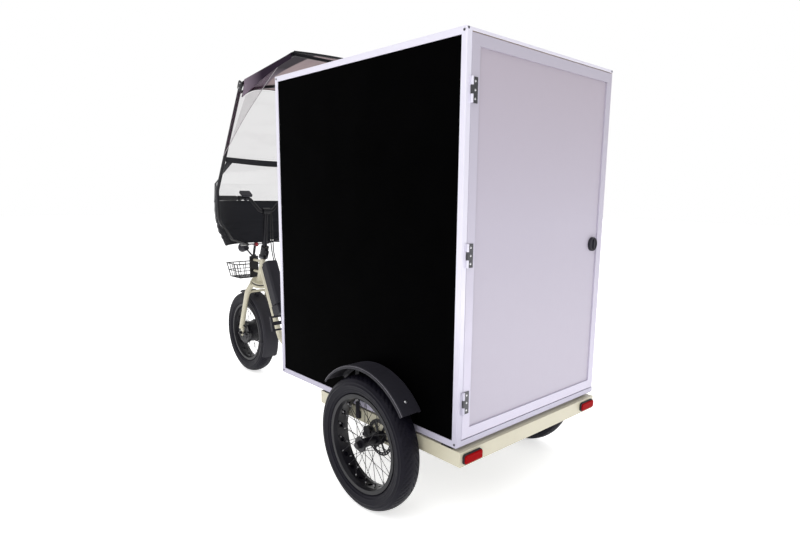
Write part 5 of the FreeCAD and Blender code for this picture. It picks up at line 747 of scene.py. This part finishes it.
def nipples_piece(wheel, centre, hand):
    """Bright spoke nipples, seated at the rim ends of the four rows of spokes."""
    step = FULL_TURN / SPOKES_PER_ROW
    runs = []
    for side in (1, -1):
        for lean, row_share, row_inset in SPOKE_ROWS:
            inset = SPOKE_RADIUS + SPOKE_GAP + row_inset
            phase = step * (row_share + (SIDE_PHASE_SHARE if side < 0 else 0))
            for index in range(SPOKES_PER_ROW):
                turn = phase + index * step
                hub_y, rim_y = (hand * side * (y - inset) for y in (SPOKE_FLANGE, SPOKE_RIM_OFFSET))
                inner = around_y(turn + lean * SPOKE_CROSS, SPOKE_CIRCLE, hub_y) * MM
                outer = around_y(turn, RIM_INNER - SPOKE_GAP, rim_y) * MM
                along = (outer - inner).normalized()
                runs.append([centre + outer - along * NIPPLE_LENGTH * MM, centre + outer])
    piece = tubes_piece(wheel + "_nipples", runs, NIPPLE_RADIUS, "nipple_steel", sides=6)
    settle(piece, wheel + "_wheel")


for rear_wheel, hand_side in (("rear_left", 1), ("rear_right", -1)):
    rear_hub = spot(0, hand_side * REAR_WHEEL_SIDE, REAR_TYRE_RADIUS)
    tyre_piece(rear_wheel, rear_hub, REAR_TYRE_RADIUS)
    nipples_piece(rear_wheel, rear_hub, hand_side)
tyre_piece("front", spot(WHEELBASE, 0, FRONT_TYRE_RADIUS), FRONT_TYRE_RADIUS)


# Cables and chain

def cable_pieces():
    """Two control cables from the stem to the battery, each with a tie around it."""
    lines = [nurbs_points([spot(*place) for place in route]) for route in CABLE_ROUTES]
    cables = [tubes_piece(f"control_cable_{index}", [line], CABLE_RADIUS, "cable_sleeve", CABLE_SIDES)
              for index, line in enumerate(lines, 1)]
    for index, (cable, line) in enumerate(zip(cables, lines), 1):
        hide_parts("control_cables")
        middle = round(len(line) * TIE_PLACE_SHARE)
        along = (line[middle + 1] - line[middle]).normalized() * TIE_LENGTH / 2 * MM
        tie = tubes_piece(f"cable_tie_{index}", [[line[middle] - along, line[middle] + along]],
                          CABLE_RADIUS + TIE_WALL, "cable_tie", CABLE_SIDES)
        for piece in (cable, tie):
            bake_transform(piece)


def chain_line():
    """Pin places around both toothed wheels, a chain pitch apart."""
    ring = CHAIN_PITCH / (2 * sin(pi / RING_TEETH))
    sprocket = CHAIN_PITCH / (2 * sin(pi / SPROCKET_TEETH))
    rear, front = spot(0, CHAIN_LINE, REAR_TYRE_RADIUS), spot(CRANK_X, CHAIN_LINE, CRANK_Z)
    reach = front - rear
    tilt = atan2(reach.z, reach.x)
    lean = acos((sprocket - ring) * MM / reach.length)
    outline = []
    for centre, radius, start, end in ((front, ring, tilt + lean, tilt - lean),
                                       (rear, sprocket, tilt - lean + FULL_TURN, tilt + lean)):
        for share in shares(CHAIN_ARC):
            outline.append(centre + around_y(between(start, end, share)) * radius * MM)
    outline.append(outline[0])
    whole = line_length(outline)
    links = 2 * round(whole / (CHAIN_PITCH * MM) / 2)
    pins, walked, target = [], 0.0, 0.0
    for a, b in zip(outline, outline[1:]):
        run = (b - a).length
        while target <= walked + run and len(pins) < links:
            pins.append(a + (b - a) * ((target - walked) / run))
            target += whole / links
        walked += run
    return pins


def link_plate(a, b, faces_y):
    """One chain side plate with round ends at two pins, between its two faces across the chain."""
    along = (b - a).normalized()
    up = Vector((-along.z, 0, along.x))
    outline = []
    for centre, start in ((b, -pi / 2), (a, pi / 2)):
        for share in shares(LINK_CORNERS):
            angle = start + pi * share
            reach = along * cos(angle) + up * sin(angle)
            outline.append(centre + reach * CHAIN_HALF_HEIGHT * MM)
    vertices = [point + Vector((0, y * MM, 0)) for y in faces_y for point in outline]
    return vertices, capped_faces(2, len(outline))


def chain_piece():
    """Roller chain: pins, with inner and outer plates in turn."""
    pins = chain_line()
    half = Vector((0, (CHAIN_HALF_GAP + 2 * CHAIN_PLATE) * MM, 0))
    meshes = []
    for index, pin in enumerate(pins):
        after = pins[(index + 1) % len(pins)]
        inner = CHAIN_HALF_GAP + CHAIN_PLATE * (index % 2) * CHAIN_NEST_SHARE
        outer = inner + CHAIN_PLATE
        meshes += [link_plate(pin, after, (outer, inner)), link_plate(pin, after, (-inner, -outer))]
        meshes.append(tube_mesh([pin - half, pin + half], CHAIN_PIN_RADIUS * MM, 8))
    piece = mesh_piece("roller_chain", *joined(meshes), "dark_steel", smooth=False)
    settle(piece, node="drive_chain")


cable_pieces()
chain_piece()


# Saddle

def saddle_rings(shrink, lift=0.0):
    """Rings of points around the cushion from nose to tail."""
    rings = []
    for share in shares(SADDLE_RINGS):
        reach_share, width_share, crown_share = smooth_line(SADDLE_SHARES, share)
        reach = SADDLE_NOSE if reach_share > 0 else SADDLE_TAIL
        x = SADDLE_MIDDLE_X + reach * reach_share * shrink
        width = SADDLE_HALF_WIDTH * width_share * shrink
        top = SADDLE_BASE + SADDLE_CROWN * crown_share * shrink
        edge = SADDLE_BASE + SADDLE_SKIRT * crown_share
        line = circle_through((width, edge), (0.0, top), (-width, edge), SADDLE_ARC)
        line += [(width * SADDLE_UNDER_SHARE * place, SADDLE_BASE) for place in (-1, -0.4, 0.4, 1)]
        rings.append([spot(x, side, height + lift) for side, height in line])
    return rings


def apply_modifiers(piece):
    ready = piece.evaluated_get(bpy.context.evaluated_depsgraph_get())
    mesh = bpy.data.meshes.new_from_object(ready)
    piece.modifiers.clear()
    old = piece.data
    piece.data = mesh
    bpy.data.meshes.remove(old)


def inflate(piece):
    """Swell a closed mesh as sewn and filled cloth, with no point moving further than a cap."""
    cap = SADDLE_SWELL_CAP * MM
    remesh = piece.modifiers.new("remesh", "REMESH")
    remesh.mode = "VOXEL"
    remesh.voxel_size = SADDLE_VOXEL * MM
    apply_modifiers(piece)
    rest = [vertex.co.copy() for vertex in piece.data.vertices]
    cloth = piece.modifiers.new("cloth", "CLOTH")
    cloth.settings.use_pressure = True
    cloth.settings.uniform_pressure_force = SADDLE_PRESSURE
    cloth.settings.effector_weights.gravity = 0.0
    cloth.point_cache.frame_start = 1
    cloth.point_cache.frame_end = SADDLE_FRAMES
    scene = bpy.context.scene
    for moment in range(1, SADDLE_FRAMES + 1):
        scene.frame_set(moment)
    apply_modifiers(piece)
    scene.frame_set(1)
    for vertex, start in zip(piece.data.vertices, rest):
        moved = vertex.co - start
        if moved.length > cap:
            vertex.co = start + moved.normalized() * cap
    piece.data.materials.clear()


def cushion_piece():
    """Filled cushion with a groove along its middle and a flat underside."""
    cushion = closed_loft("saddle_cushion", saddle_rings(SADDLE_SHRINK, SADDLE_LIFT), "saddle_cover")
    inflate(cushion)
    floor_height = (SADDLE_BASE + SADDLE_SHELL_HEIGHT * 0.4) * MM
    for vertex in cushion.data.vertices:
        groove = exp(-(vertex.co.y / (GROOVE_WIDTH * MM)) ** 2)
        long_share = (vertex.co.x - spot(SADDLE_MIDDLE_X, 0, 0).x) / (GROOVE_LENGTH * MM)
        if vertex.co.z > floor_height + GROOVE_FLOOR * MM:
            vertex.co.z -= GROOVE_DEPTH * MM * groove * exp(-long_share ** 2)
        vertex.co.z = max(vertex.co.z, floor_height)
    cushion.data.materials.append(LOOKS["saddle_cover"])
    cushion.data.shade_smooth()
    cushion.modifiers.new("soften", "SMOOTH").iterations = 6
    cushion.modifiers.new("fine", "SUBSURF").levels = 1
    settle(cushion, "seat", "saddle")


def saddle_base_pieces():
    """Shell under the cushion, and its two rails."""
    share = SADDLE_SHELL_HEIGHT / SADDLE_SKIRT
    rings = []
    for ring in saddle_rings(1.0):
        low_left, low_right = ring[-1], ring[SADDLE_ARC]
        left, right = between(low_left, ring[0], share), between(low_right, ring[SADDLE_ARC - 1], share)
        top, under = between(left, right, 0.5), between(low_right, low_left, 0.5)
        rings.append([left, top, right, low_right, under, low_left])
    settle(closed_loft("saddle_shell", rings, "black_plastic", sharp=40), "seat")
    tail = SADDLE_MIDDLE_X - SADDLE_TAIL * 2 / 3
    nose = SADDLE_MIDDLE_X + SADDLE_NOSE * 2 / 3
    dip = SADDLE_RAIL_DROP
    low = SADDLE_BASE - dip
    bend = SADDLE_BASE - dip * 0.5
    route = ((tail, SADDLE_BASE), (tail + dip * 0.5, bend), (tail + dip, low), (tail + dip * 2, low),
             (nose - dip * 2, low), (nose - dip, low), (nose - dip * 0.5, bend), (nose, SADDLE_BASE))
    runs = [nurbs_points([spot(x, side * SADDLE_RAIL_SPREAD, z) for x, z in route]) for side in (1, -1)]
    rails = tubes_piece("saddle_rails", runs, SADDLE_RAIL_RADIUS, "bright_steel", sides=12)
    settle(rails, "seat")


cushion_piece()
saddle_base_pieces()


# Canopy cloth and film

def sheet_grid(rows, columns, place_at):
    """Points of a sheet; place_at takes a share along it and a share across it."""
    return [[place_at(along, across) for across in shares(columns)] for along in shares(rows)]


def edge_tube(name, points, radius=PIPING_RADIUS, look="cover_fabric"):
    return settle(tubes_piece(name, [points], radius, look))


def hang_sheet(name, rows, look, node, edges=()):
    """Cloth or film in place of a node, with UVs in metres and edge tubes."""
    columns = len(rows[0])
    piece = mesh_piece(name, [point for row in rows for point in row], grid_faces(len(rows), columns), look)
    across = run_lengths(rows[len(rows) // 2])
    along = run_lengths([row[columns // 2] for row in rows])
    layer = piece.data.uv_layers.new(name="cut")
    for loop in piece.data.loops:
        row, column = divmod(loop.vertex_index, columns)
        layer.data[loop.index].uv = (across[column], along[row])
    body = piece.modifiers.new("body", "SOLIDIFY")
    body.thickness = (CLOTH_THICKNESS if look == "cover_fabric" else FILM_THICKNESS) * MM
    body.offset = 0.0
    settle(piece, node=node)
    tubes = [edge_tube(*edge) for edge in edges]


def side_spot(z):
    """Middle of the left tube's upper run at a height."""
    return place_between(SIDE_MID, SIDE_TOP, (z - SIDE_MID[2]) / (SIDE_TOP[2] - SIDE_MID[2]))


def rail_spot(x):
    """Middle of the left roof rail at a distance from the rear axle."""
    return place_between(SIDE_TOP, RAIL_REAR, (x - SIDE_TOP[0]) / (RAIL_REAR[0] - SIDE_TOP[0]))


def plan_arc(section):
    """Arc around the handlebar from left to right: middle X, radius and height."""
    x, radius, z = section
    angles = [COVER_SWEEP * (1 - 2 * share) for share in shares(FILM_COLUMNS)]
    return [(x + radius * cos(angle), radius * sin(angle), z) for angle in angles]


def band_arc(z):
    """Forward bow between the two canopy tubes, at a height."""
    x, y, _ = side_spot((BAND_BOTTOM + BAND_TOP) / 2)
    end = y - TUBE_RADIUS
    bow = circle_through((end, 0.0), (0.0, BAND_BULGE), (-end, 0.0), FILM_COLUMNS)
    return [(x + reach, side, z) for side, reach in bow]


def screen_top_arc():
    """Top edge of the windscreen, just under the roof's lip."""
    _, half, edge, crown = ROOF_SECTIONS[0]
    line = []
    for share in shares(FILM_COLUMNS):
        across = 1 - 2 * share
        y = SCREEN_TOP_HALF * across
        z = edge + crown * (1 - abs(y / half) ** ROOF_LIP_POWER) - SCREEN_TOP_DROP
        line.append((SCREEN_TOP_X + SCREEN_TOP_BULGE * (1 - across ** 2), y, z))
    return line


def cover_spot(along, across):
    """Leg cover from hem to top edge, full in the middle, with horizontal folds and small wrinkles."""
    corner = COVER_CORNER * abs(2 * across - 1) ** COVER_CORNER_POWER
    z = between(HEM[2] + corner, COVER_TOP[2], along)
    share = min((z - HEM[2]) / (BULGE[2] - HEM[2]), 1.0)
    x, radius, _ = place_between(HEM, BULGE, share * (2 - share))
    if z > BULGE[2]:
        x, radius, _ = place_between(BULGE, COVER_TOP, (z - BULGE[2]) / (COVER_TOP[2] - BULGE[2]))
    angle = COVER_SWEEP * (1 - 2 * across)
    drift = COVER_FOLD_DRIFT * ripple(across * 3.0, 7.0, 0.0)
    fold = 0.0
    if share < 1:
        for centre, depth, width in COVER_FOLDS:
            fold += depth * exp(-((share - centre + drift) / width) ** 2)
    wrinkle = COVER_WRINKLE * ripple(across * 7.0, along * 11.0, 3.0)
    inside_edges = min(min(along, 1 - along) * COVER_EDGE_RAMP, 1.0)
    reach = radius - COVER_INSET - fold - wrinkle * inside_edges
    return spot(x + reach * cos(angle), reach * sin(angle), z)


def band_rows():
    """Cloth band across the windscreen, sagging in the middle."""
    made = []
    for place in shares(BAND_ROWS):
        row = []
        for share, (x, y, z) in zip(shares(FILM_COLUMNS), band_arc(between(BAND_BOTTOM, BAND_TOP, place))):
            sag = BAND_SAG * (1 - BAND_SAG_TAPER * place) * sin(pi * share) ** 2
            bow = BAND_BOW * sin(pi * place) + ripple(share * 9, place * 3, 1.0)
            row.append(spot(x - COVER_INSET + bow, y, z - sag))
        made.append(row)
    return made


def film_rows(sections, seed):
    """Film between sections of points, with slow ripples off its surface."""
    made = []
    for place in shares(FILM_ROWS):
        reach = place * (len(sections) - 1)
        index = min(int(reach), len(sections) - 2)
        row = []
        for column, (low, high) in enumerate(zip(sections[index], sections[index + 1])):
            x, y, z = place_between(low, high, reach - index)
            inward = -FILM_THICKNESS - abs(FILM_RIPPLE * ripple(column * 0.11, place * 2.3, seed))
            ahead = x - COVER_TOP[0] + FILM_AXIS_BACK
            length = hypot(ahead, y)
            row.append(spot(x + inward * ahead / length, y + inward * y / length, z))
        made.append(row)
    return made


def window_spot(along, across):
    """Left window: fan of lines from the top corner to a free edge that hangs slightly slack."""
    edge = place_between(side_spot(BAND_TOP), rail_spot(WINDOW_REAR_X), across)
    loose = sin(pi * across)
    reach = between(WINDOW_START, 1.0, along) * (1 - WINDOW_SLACK * loose * along)
    x, y, z = place_between(SIDE_TOP, edge, reach)
    wave = WINDOW_WAVE * ripple(across * 2.1, along * 2.4, 9.0) * along * loose
    return spot(x, y + TUBE_RADIUS + WINDOW_OUT + abs(wave), z)


def roof_spot(along, across):
    """Roof sheet, lying on the bow and rails and sagging a little between."""
    x, half, edge, crown = smooth_line(ROOF_SECTIONS, along)
    arc = (half * half + crown * crown) / (2 * crown)
    y = half * (1 - 2 * across)
    over_bow = crown - (arc - sqrt(arc * arc - y * y))
    at_lip = crown * (1 - abs(y / half) ** ROOF_LIP_POWER)
    rise = between(at_lip, over_bow, min(along / ROOF_BOW_SHARE, 1.0))
    hang = sin(pi * across) * sin(pi * min(max(along * 1.3 - 0.3, 0.0), 1.0))
    wave = ROOF_WAVE * ripple(across * 5.0, along * 6.0, 4.0)
    return spot(x, y, edge + rise + ROOF_SHEET / 2 - (ROOF_HANG + wave) * hang)


def roof_rows(start, end, rows):
    """Roof sheet between two shares of its length."""
    places = [between(start, end, share) for share in shares(rows)]
    return [[roof_spot(place, across) for across in shares(ROOF_COLUMNS)] for place in places]


def roof_edge(x):
    """Half width and edge height of the roof at a distance from the rear axle."""
    pairs = zip(ROOF_SECTIONS, ROOF_SECTIONS[1:])
    ahead, behind = next(pair for pair in pairs if pair[1][0] <= x <= pair[0][0])
    return place_between(ahead, behind, (x - ahead[0]) / (behind[0] - ahead[0]))[1:3]


def flap_rows(rows=49, columns=19):
    """Left roof flap: from the roof's edge over the rail and down its outer side, deepest in front."""
    made = []
    for place in shares(rows):
        x, y, z = rail_spot(between(FLAP_FRONT_X, RAIL_REAR[0], place))
        half, edge = roof_edge(x)
        drop = between(FLAP_REAR_DROP, FLAP_FRONT_DROP, (1 - place) ** 2)
        lean = FLAP_LEAN * (1 - place) ** 6
        out = TUBE_RADIUS + FLAP_OUT
        line = [(x, min(half, y - FLAP_LAP), edge + ROOF_SHEET / 2), (x, y, z + TUBE_RADIUS + FLAP_LAP),
                (x, y + out * 0.8, z + TUBE_RADIUS * 0.7), (x, y + out, z - drop * 0.15),
                (x + lean * 0.5, y + out + lean * 0.05, z - drop * 0.55),
                (x + lean, y + out + lean * 0.1, z - drop)]
        made.append([spot(*smooth_line(line, share)) for share in shares(columns)])
    return made


def canopy_pieces():
    cover = sheet_grid(46, 81, cover_spot)
    piping = (("leg_cover_top_piping", cover[-1]), ("leg_cover_hem", cover[0]))
    hang_sheet("leg_cover_cloth", cover, "cover_fabric", "leg_cover", piping)
    hang_sheet("windscreen_band", band_rows(), "cover_fabric", "leg_cover")

    hood = film_rows([plan_arc(COVER_TOP), plan_arc(HOOD), band_arc(BAND_BOTTOM)], 2.0)
    screen = film_rows([band_arc(BAND_TOP), screen_top_arc()], 5.0)
    films = (("hood_left_binding", [row[:HOOD_BINDING + 1] for row in hood], "cover_fabric"),
             ("hood_right_binding", [row[-HOOD_BINDING - 1:] for row in hood], "cover_fabric"),
             ("clear_hood", [row[HOOD_BINDING:-HOOD_BINDING] for row in hood], "clear_film"),
             ("windscreen_film", screen, "clear_film"))
    for name, rows, look in films:
        hang_sheet(name, rows, look, "clear_windows")
    for name, rows in both_sides("window", sheet_grid(26, 21, window_spot)):
        welt = (name + "_welt", rows[-1], WELT_RADIUS, "film_welt")
        hang_sheet(name, rows, "clear_film", "clear_windows", [welt])

    roof = roof_rows(0.0, ROOF_VALANCE_SHARE, 61)
    valance = roof_rows(ROOF_VALANCE_SHARE, 1.0, 15)
    bindings = (("roof_left_binding", [row[0] for row in roof]),
                ("roof_right_binding", [row[-1] for row in roof]),
                ("roof_front_binding", roof[0], PIPING_RADIUS - 1))
    hang_sheet("canopy_roof_film", roof, "tinted_film", "canopy_roof", bindings)
    for name, rows in both_sides("roof_flap", flap_rows()):
        hang_sheet(name, rows, "tinted_film", "canopy_roof")
    hang_sheet("roof_rear_valance", valance, "cover_fabric", "canopy_roof",
               [("roof_rear_binding", valance[-1])])


def clamp_pieces():
    """Silver sleeve over the clamp rod, and the lobed red knob at its middle."""
    ends = [spot(CLAMP_ROD_X, side * CLAMP_ROD_HALF, CLAMP_ROD_Z) for side in (-1, 1)]
    sleeve = tubes_piece("clamp_sleeve", [ends], CLAMP_SLEEVE_RADIUS, "bright_steel", sides=20, sharp=40)
    settle(sleeve)
    rings = []
    for place, width in KNOB_SECTIONS:
        x = CLAMP_ROD_X - CLAMP_SLEEVE_RADIUS - KNOB_LENGTH * place
        ring = []
        for angle in ring_angles(KNOB_LOBES * 8):
            reach = KNOB_RADIUS * width - KNOB_LOBE_DEPTH * (0.5 + 0.5 * cos(KNOB_LOBES * angle))
            ring.append(spot(x, reach * cos(angle), CLAMP_ROD_Z + reach * sin(angle)))
        rings.append(ring)
    settle(closed_loft("clamp_knob", rings, "knob_red", sharp=50))


def bracket_pieces(name, side):
    """Corner plate on the canopy tube with two bolts; side is 1 for left and -1 for right."""
    x, y, z = side_spot(BRACKET_Z)
    along = (spot(*SIDE_TOP) - spot(*SIDE_MID)).normalized()
    out = Vector((0, 1, 0))
    wide = along.cross(out).normalized()
    centre = spot(x - BRACKET_BACK, y + BRACKET_OUT, z)
    rings = []
    for depth, shrink in BRACKET_SECTIONS:
        ring = []
        for angle in ring_angles(BRACKET_SIDES):
            square = (abs(cos(angle)) ** 4 + abs(sin(angle)) ** 4) ** -0.25
            reach = along * cos(angle) * BRACKET_LENGTH / 2 + wide * sin(angle) * BRACKET_WIDTH / 2
            ring.append(centre + reach * square * shrink * MM + out * BRACKET_THICKNESS * depth * MM)
        rings.append(ring)
    bolts = []
    for shift in (-0.5, 0.5):
        rise = out * (BRACKET_THICKNESS - BRACKET_BOLT_SINK)
        middle = centre + (along * shift * BRACKET_BOLT_SPREAD + rise) * MM
        bolts.append([middle - out * BRACKET_OUT * 0.4 * MM, middle + out * BRACKET_BOLT_HEAD * MM])
    plate = closed_loft(name, rings, "black_paint", sharp=35)
    heads = tubes_piece(name + "_bolts", bolts, BRACKET_BOLT_RADIUS, "bright_steel", sides=6, sharp=35)
    for piece in (plate, heads):
        if side < 0:
            piece.data.transform(Matrix.Diagonal((1, -1, 1, 1)))
            piece.data.flip_normals()
        settle(piece)


canopy_pieces()
clamp_pieces()
bracket_pieces("left_corner_bracket", 1)
bracket_pieces("right_corner_bracket", -1)


# Small fittings

def heads_piece(name, places, radius, height, look, body="chassis"):
    """Domed heads; each place is a seat and an outward direction."""
    meshes = []
    for seat, out in places:
        side = out.orthogonal().normalized()
        other = out.cross(side)
        vertices = []
        for rise, width in HEAD_OUTLINE:
            for angle in ring_angles(HEAD_SIDES):
                reach = (side * cos(angle) + other * sin(angle)) * radius * width
                vertices.append(seat + (out * height * rise + reach) * MM)
        meshes.append((vertices, capped_faces(len(HEAD_OUTLINE), HEAD_SIDES)))
    settle(mesh_piece(name, *joined(meshes), look, sharp=40), body)


def fitting_pieces():
    """Hinge screws and end plugs of the door header, a painted shadow line in the gap under the header,
    fender bolt caps, and painted highlight lines along the fender creases.
    """
    rearward = Vector((-1, 0, 0))
    screws = []
    for share in HINGE_PLACE_SHARES:
        for step in (-1, 0, 1):
            z = BOX_BOTTOM + share * BOX_HEIGHT + step * HINGE_SCREW_SPREAD
            screws.append((spot(BOX_REAR - HINGE_LEAF, HINGE_SCREW_Y, z), rearward))
    heads_piece("hinge_screws", screws, HINGE_SCREW_RADIUS, HINGE_SCREW_HEIGHT, "bright_steel", "door")
    top = BOX_BOTTOM + BOX_HEIGHT
    plug_y, plug_z = BOX_HALF - PLUG_INSET, top - DOOR_HEADER / 2
    plugs = [(spot(BOX_REAR, side * plug_y, plug_z), rearward) for side in (1, -1)]
    heads_piece("header_end_plugs", plugs, PLUG_RADIUS, PLUG_HEIGHT, "black_plastic")
    # Painted shadow in the gap under the door header.
    gap_shadow_z = top - DOOR_HEADER - GAP_SHADOW_RADIUS
    gap_shadow_line = [spot(BOX_REAR + GAP_SHADOW_DEPTH, y, gap_shadow_z) for y in (GAP_SHADOW_DEPTH - BOX_HALF, DOOR_LEFT)]
    settle(tubes_piece("door_header_gap_shadow", [gap_shadow_line], GAP_SHADOW_RADIUS, "door_gap_shadow"))
    out = around_y(FENDER_BOLT_ANGLE)
    hub = spot(0, 0, REAR_TYRE_RADIUS)
    seats = [out * FENDER_CROWN + Vector((0, side * FENDER_BOLT_Y, 0)) for side in (1, -1)]
    caps = [(hub + seat * MM, out) for seat in seats]
    heads_piece("fender_bolt_caps", caps, FENDER_CAP_RADIUS, FENDER_CAP_HEIGHT, "bright_steel")
    # Painted highlight along each fender crease.
    angles = [between(*CREASE_HIGHLIGHT_ANGLES, share) for share in shares(CREASE_HIGHLIGHT_SAMPLES)]
    crease_highlight_line = [hub + around_y(angle, CREASE_HIGHLIGHT_REACH, CREASE_HIGHLIGHT_Y) * MM for angle in angles]
    highlight_tubes = tubes_piece("fender_crease_highlights", [crease_highlight_line, mirrored(crease_highlight_line)], CREASE_HIGHLIGHT_RADIUS, "painted_fender_highlight")
    settle(highlight_tubes)


fitting_pieces()


# Finishes of the solid parts

NODE_LOOKS = {
    "grips": "grip_ribs",
    "rear_axle": "black_paint",
    "front_axle": "black_paint",
    "bearings": "dark_steel",
    "box_fasteners": "dark_steel",
    # aluminium_bar and door_bar carry painted light and shade by height.
    "hinge_post_leaves": "aluminium_bar",
    "door_frame": "door_bar",
}
for node_name, solid in NODES.items():
    for slot in solid.material_slots:
        finish = NODE_LOOKS.get(node_name, base_name(slot.material))
        if finish in LOOKS:
            slot.material = LOOKS[finish]
    solid.data.shade_smooth()
    solid.data.set_sharp_from_angle(angle=radians(28))


# Stage, light and camera

def floor_piece():
    tree = new_look("studio_floor", Roughness=0.85, Emission_Strength=0.6, Emission_Color=WHITE)
    connect(tree, Base_Color=blended(grain(tree, 0.7, 2.0), (0.93, 0.93, 0.935), (0.96, 0.96, 0.96)))
    corners = [(x * FLOOR_REACH, y * FLOOR_REACH, 0) for x, y in ((-1, -1), (1, -1), (1, 1), (-1, 1))]
    mesh_piece("floor", corners, [(0, 1, 2, 3)], "studio_floor", smooth=False)


def studio():
    """White surroundings, a little darker on one side, and the lights."""
    world = bpy.data.worlds.new("studio")
    world.use_nodes = True
    tree = world.node_tree
    backdrop = tree.nodes["Background"]
    backdrop.inputs["Color"].default_value = WHITE
    place = add_node(tree, "ShaderNodeTexCoord").outputs["Generated"]
    facing = add_node(tree, "ShaderNodeVectorMath", {0: place, 1: BACKDROP_SIDE}, operation="DOT_PRODUCT")
    level = span(facing.outputs["Value"], *BACKDROP_LEVELS, *BACKDROP_RANGE)
    tree.links.new(level, backdrop.inputs["Strength"])
    bpy.context.scene.world = world
    bpy.context.scene.view_settings.view_transform = "Standard"
    for name, place, target, size, power in LIGHTS:
        lamp = bpy.data.lights.new(name, "AREA")
        lamp.shape = "DISK"
        lamp.size = size
        lamp.energy = power
        holder = linked(name, lamp)
        holder.location = place
        holder.rotation_euler = (Vector(target) - Vector(place)).to_track_quat("-Z", "Y").to_euler()


def photo_camera():
    lens = bpy.data.cameras.new("camera")
    width, height = IMAGE_SIZE
    lens.sensor_width = SENSOR_WIDTH
    lens.lens = CAMERA_FOCAL / width * SENSOR_WIDTH
    lens.shift_x = (width / 2 - CAMERA_CENTRE[0]) / width
    lens.shift_y = (CAMERA_CENTRE[1] - height / 2) / width
    holder = linked("camera", lens)
    turn = Matrix.Rotation(CAMERA_YAW - pi / 2, 4, "Z")
    tilt = Matrix.Rotation(pi / 2 - CAMERA_PITCH, 4, "X")
    roll = Matrix.Rotation(-CAMERA_ROLL, 4, "Z")
    holder.matrix_world = Matrix.Translation(CAMERA_PLACE) @ turn @ tilt @ roll
    bpy.context.scene.camera = holder


floor_piece()
studio()
photo_camera()

bpy.context.view_layer.update()
